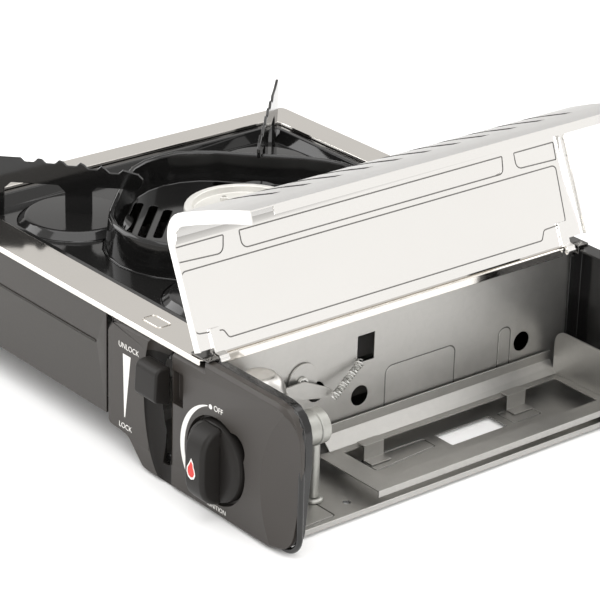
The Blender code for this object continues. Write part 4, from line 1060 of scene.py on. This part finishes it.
class STOVE_OT_bay(StoveOperator):
    """Cartridge bay: sheet metal, regulator, socket, carriage, clips and latch"""

    bl_idname = "stove.bay"
    bl_label = "Cartridge bay"

    def build(self, sizes, colours):
        rows = (
            ("bottom_pan", "pan_sheet", "stove_body", "galvanised_steel", 0.3),
            ("partition", "partition_sheet", "stove_body", "galvanised_steel", 0.2),
            ("regulator_body", "regulator_casting", "stove_body", "zinc_casting", 0.5),
            ("regulator_cap", "regulator_dome", "stove_body", "satin_steel", 0.3),
            ("cartridge_socket", "socket_collar", "stove_body", "zinc_casting", 0.3),
            ("support_post", "socket_post", "stove_body", "zinc_casting", 0.3),
            ("post_foot", "post_washer", "stove_body", "zinc_casting", 0.2),
            ("lever_cradle", "cradle_sheet", "stove_body", "galvanised_steel", 0.2),
            ("guide_clip_front", "clip_front", "stove_body", "galvanised_steel", 0.15),
            ("guide_clip_rear", "clip_rear", "stove_body", "galvanised_steel", 0.15),
            ("latch_disc", "latch_washer", "stove_body", "galvanised_steel", 0.2),
            ("latch_rivet", "latch_eyelet", "stove_body", "spring_steel", 0.2),
            ("latch_lever", "latch_arm", "stove_body", "galvanised_steel", 0.15),
            ("carriage_frame", "carriage_sheet", "carriage", "galvanised_steel", 0.2),
            ("carriage_link", "link_sheet", "carriage", "galvanised_steel", 0.2),
        )
        for node, name, body, slot, width in rows:
            piece = copy_of(node, name)
            if node == "partition":
                for outline in (PARTITION_WINDOW, PARTITION_PILL):
                    groove(piece, rounded(outline), 0.3, SIDE, PARTITION_FACE)
            if node == "bottom_pan":
                for outline in (PAN_FRONT_PANEL, PAN_MIDDLE_PANEL, PAN_REAR_PANEL):
                    groove(piece, rounded(outline), 0.3, FLAT, PAN_FACE)
            soften(piece, width, 2)
            finish_piece(piece, body, FINISHES[slot], [node])
            # painted shade: the pressed lines' faces take a dark zinc so they read as dark lines
            if node == "partition":
                darken(piece, self.in_partition_line, FINISHES["crease_zinc"])
            if node == "bottom_pan":
                darken(piece, self.in_pan_line, FINISHES["crease_zinc"])

    def in_partition_line(self, centre, normal):
        """Whether a face is in a line pressed into the partition."""
        return PARTITION_FACE - 0.4 < centre.x < PARTITION_FACE - 0.05

    def in_pan_line(self, centre, normal):
        """Whether a face is in a line pressed into the bay's floor."""
        return centre.x > 5 and PAN_FACE - 0.4 < centre.z < PAN_FACE - 0.05


class STOVE_OT_studio(StoveOperator):
    """Pale floor, soft lights and the camera"""

    bl_idname = "stove.studio"
    bl_label = "Studio"

    def build(self, sizes, colours):
        deselect()
        bpy.ops.mesh.primitive_plane_add(size=14.0, location=(0, 0, -0.0005))
        floor = bpy.context.object
        floor.name = "studio_floor"
        floor.data.materials.append(studio_floor("Floor", tuple(colours.floor)))
        lights = (
            ("overhead", (0.1, -0.1, 1.9), (0, 0, 0), 2.2, 26.0),
            ("left_panel", (-1.9, -1.0, 1.1), (0, 0, 0.05), 1.6, 22.0),
            ("right_panel", (1.9, -0.9, 1.0), (0, 0, 0.05), 1.4, 18.0),
            ("back_panel", (0.2, 2.2, 1.3), (0, 0, 0.05), 1.8, 20.0),
        )
        for name, place, target, size, power in lights:
            data = bpy.data.lights.new(name, "AREA")
            data.shape = "SQUARE"
            data.size = size
            data.energy = power
            light = bpy.data.objects.new(name, data)
            bpy.context.scene.collection.objects.link(light)
            light.location = place
            aim = Vector(target) - Vector(place)
            light.rotation_euler = aim.to_track_quat("-Z", "Y").to_euler()
        sky = bpy.data.worlds.new("studio")
        bpy.context.scene.world = sky
        sky.use_nodes = True
        self.shade_sky(sky.node_tree)
        bpy.context.scene.view_settings.view_transform = "Standard"
        self.add_camera()

    def shade_sky(self, tree):
        """A white room with a darker screen low behind the stove's left."""
        background = next(n for n in tree.nodes if n.type == "BACKGROUND")
        where = tree.nodes.new("ShaderNodeTexCoord")
        dot = tree.nodes.new("ShaderNodeVectorMath")
        dot.operation = "DOT_PRODUCT"
        dot.inputs[1].default_value = Vector((-0.72, 0.6, 0.35)).normalized()
        fade = tree.nodes.new("ShaderNodeMapRange")
        fade.interpolation_type = "SMOOTHSTEP"
        for name, value in (("From Min", 0.45), ("From Max", 0.95), ("To Min", 1.0), ("To Max", 0.74)):
            fade.inputs[name].default_value = value
        tree.links.new(where.outputs["Generated"], dot.inputs[0])
        tree.links.new(dot.outputs["Value"], fade.inputs["Value"])
        tree.links.new(fade.outputs["Result"], background.inputs["Strength"])
        background.inputs["Color"].default_value = (1.0, 0.985, 0.965, 1.0)

    def add_camera(self):
        azimuth = math.radians(50.2887)
        elevation = math.radians(23.8617)
        roll = math.radians(1.6447)
        flat = math.cos(elevation)
        back = Vector((math.sin(azimuth) * flat, -math.cos(azimuth) * flat, math.sin(elevation)))
        right = Vector((0, 0, 1)).cross(back).normalized()
        up = back.cross(right)
        turned_right = right * math.cos(roll) + up * math.sin(roll)
        turned_up = up * math.cos(roll) - right * math.sin(roll)
        data = bpy.data.cameras.new("camera")
        data.sensor_width = 36.0
        data.sensor_fit = "HORIZONTAL"
        data.lens = 164.5
        camera = bpy.data.objects.new("camera", data)
        bpy.context.scene.collection.objects.link(camera)
        turn = Matrix((turned_right, turned_up, back)).transposed().to_4x4()
        camera.matrix_world = Matrix.Translation((1.1129, -0.9069, 0.6846)) @ turn
        bpy.context.scene.camera = camera


PIECES = (
    STOVE_OT_finishes,
    STOVE_OT_box,
    STOVE_OT_tray,
    STOVE_OT_burner,
    STOVE_OT_lid,
    STOVE_OT_panel,
    STOVE_OT_controls,
    STOVE_OT_print,
    STOVE_OT_bay,
    STOVE_OT_studio,
)


class STOVE_PT_sidebar(bpy.types.Panel):
    """The stove's pieces, in the 3D view's sidebar"""

    bl_idname = "STOVE_PT_sidebar"
    bl_label = "Camping stove"
    bl_space_type = "VIEW_3D"
    bl_region_type = "UI"
    bl_category = "Stove"

    def draw(self, context):
        for group in (context.scene.stove_sizes, context.scene.stove_colours):
            for name in group.__annotations__:
                self.layout.prop(group, name)
        for piece in PIECES:
            self.layout.operator(piece.bl_idname)


CLASSES = (StoveSizes, StoveColours, *PIECES, STOVE_PT_sidebar)


def register():
    for each in CLASSES:
        bpy.utils.register_class(each)
    bpy.types.Scene.stove_sizes = bpy.props.PointerProperty(type=StoveSizes)
    bpy.types.Scene.stove_colours = bpy.props.PointerProperty(type=StoveColours)


def unregister():
    del bpy.types.Scene.stove_colours
    del bpy.types.Scene.stove_sizes
    for each in reversed(CLASSES):
        bpy.utils.unregister_class(each)


def main():
    register()
    for piece in PIECES:
        group, name = piece.bl_idname.split(".")
        getattr(getattr(bpy.ops, group), name)()


if __name__ == "__main__":
    main()
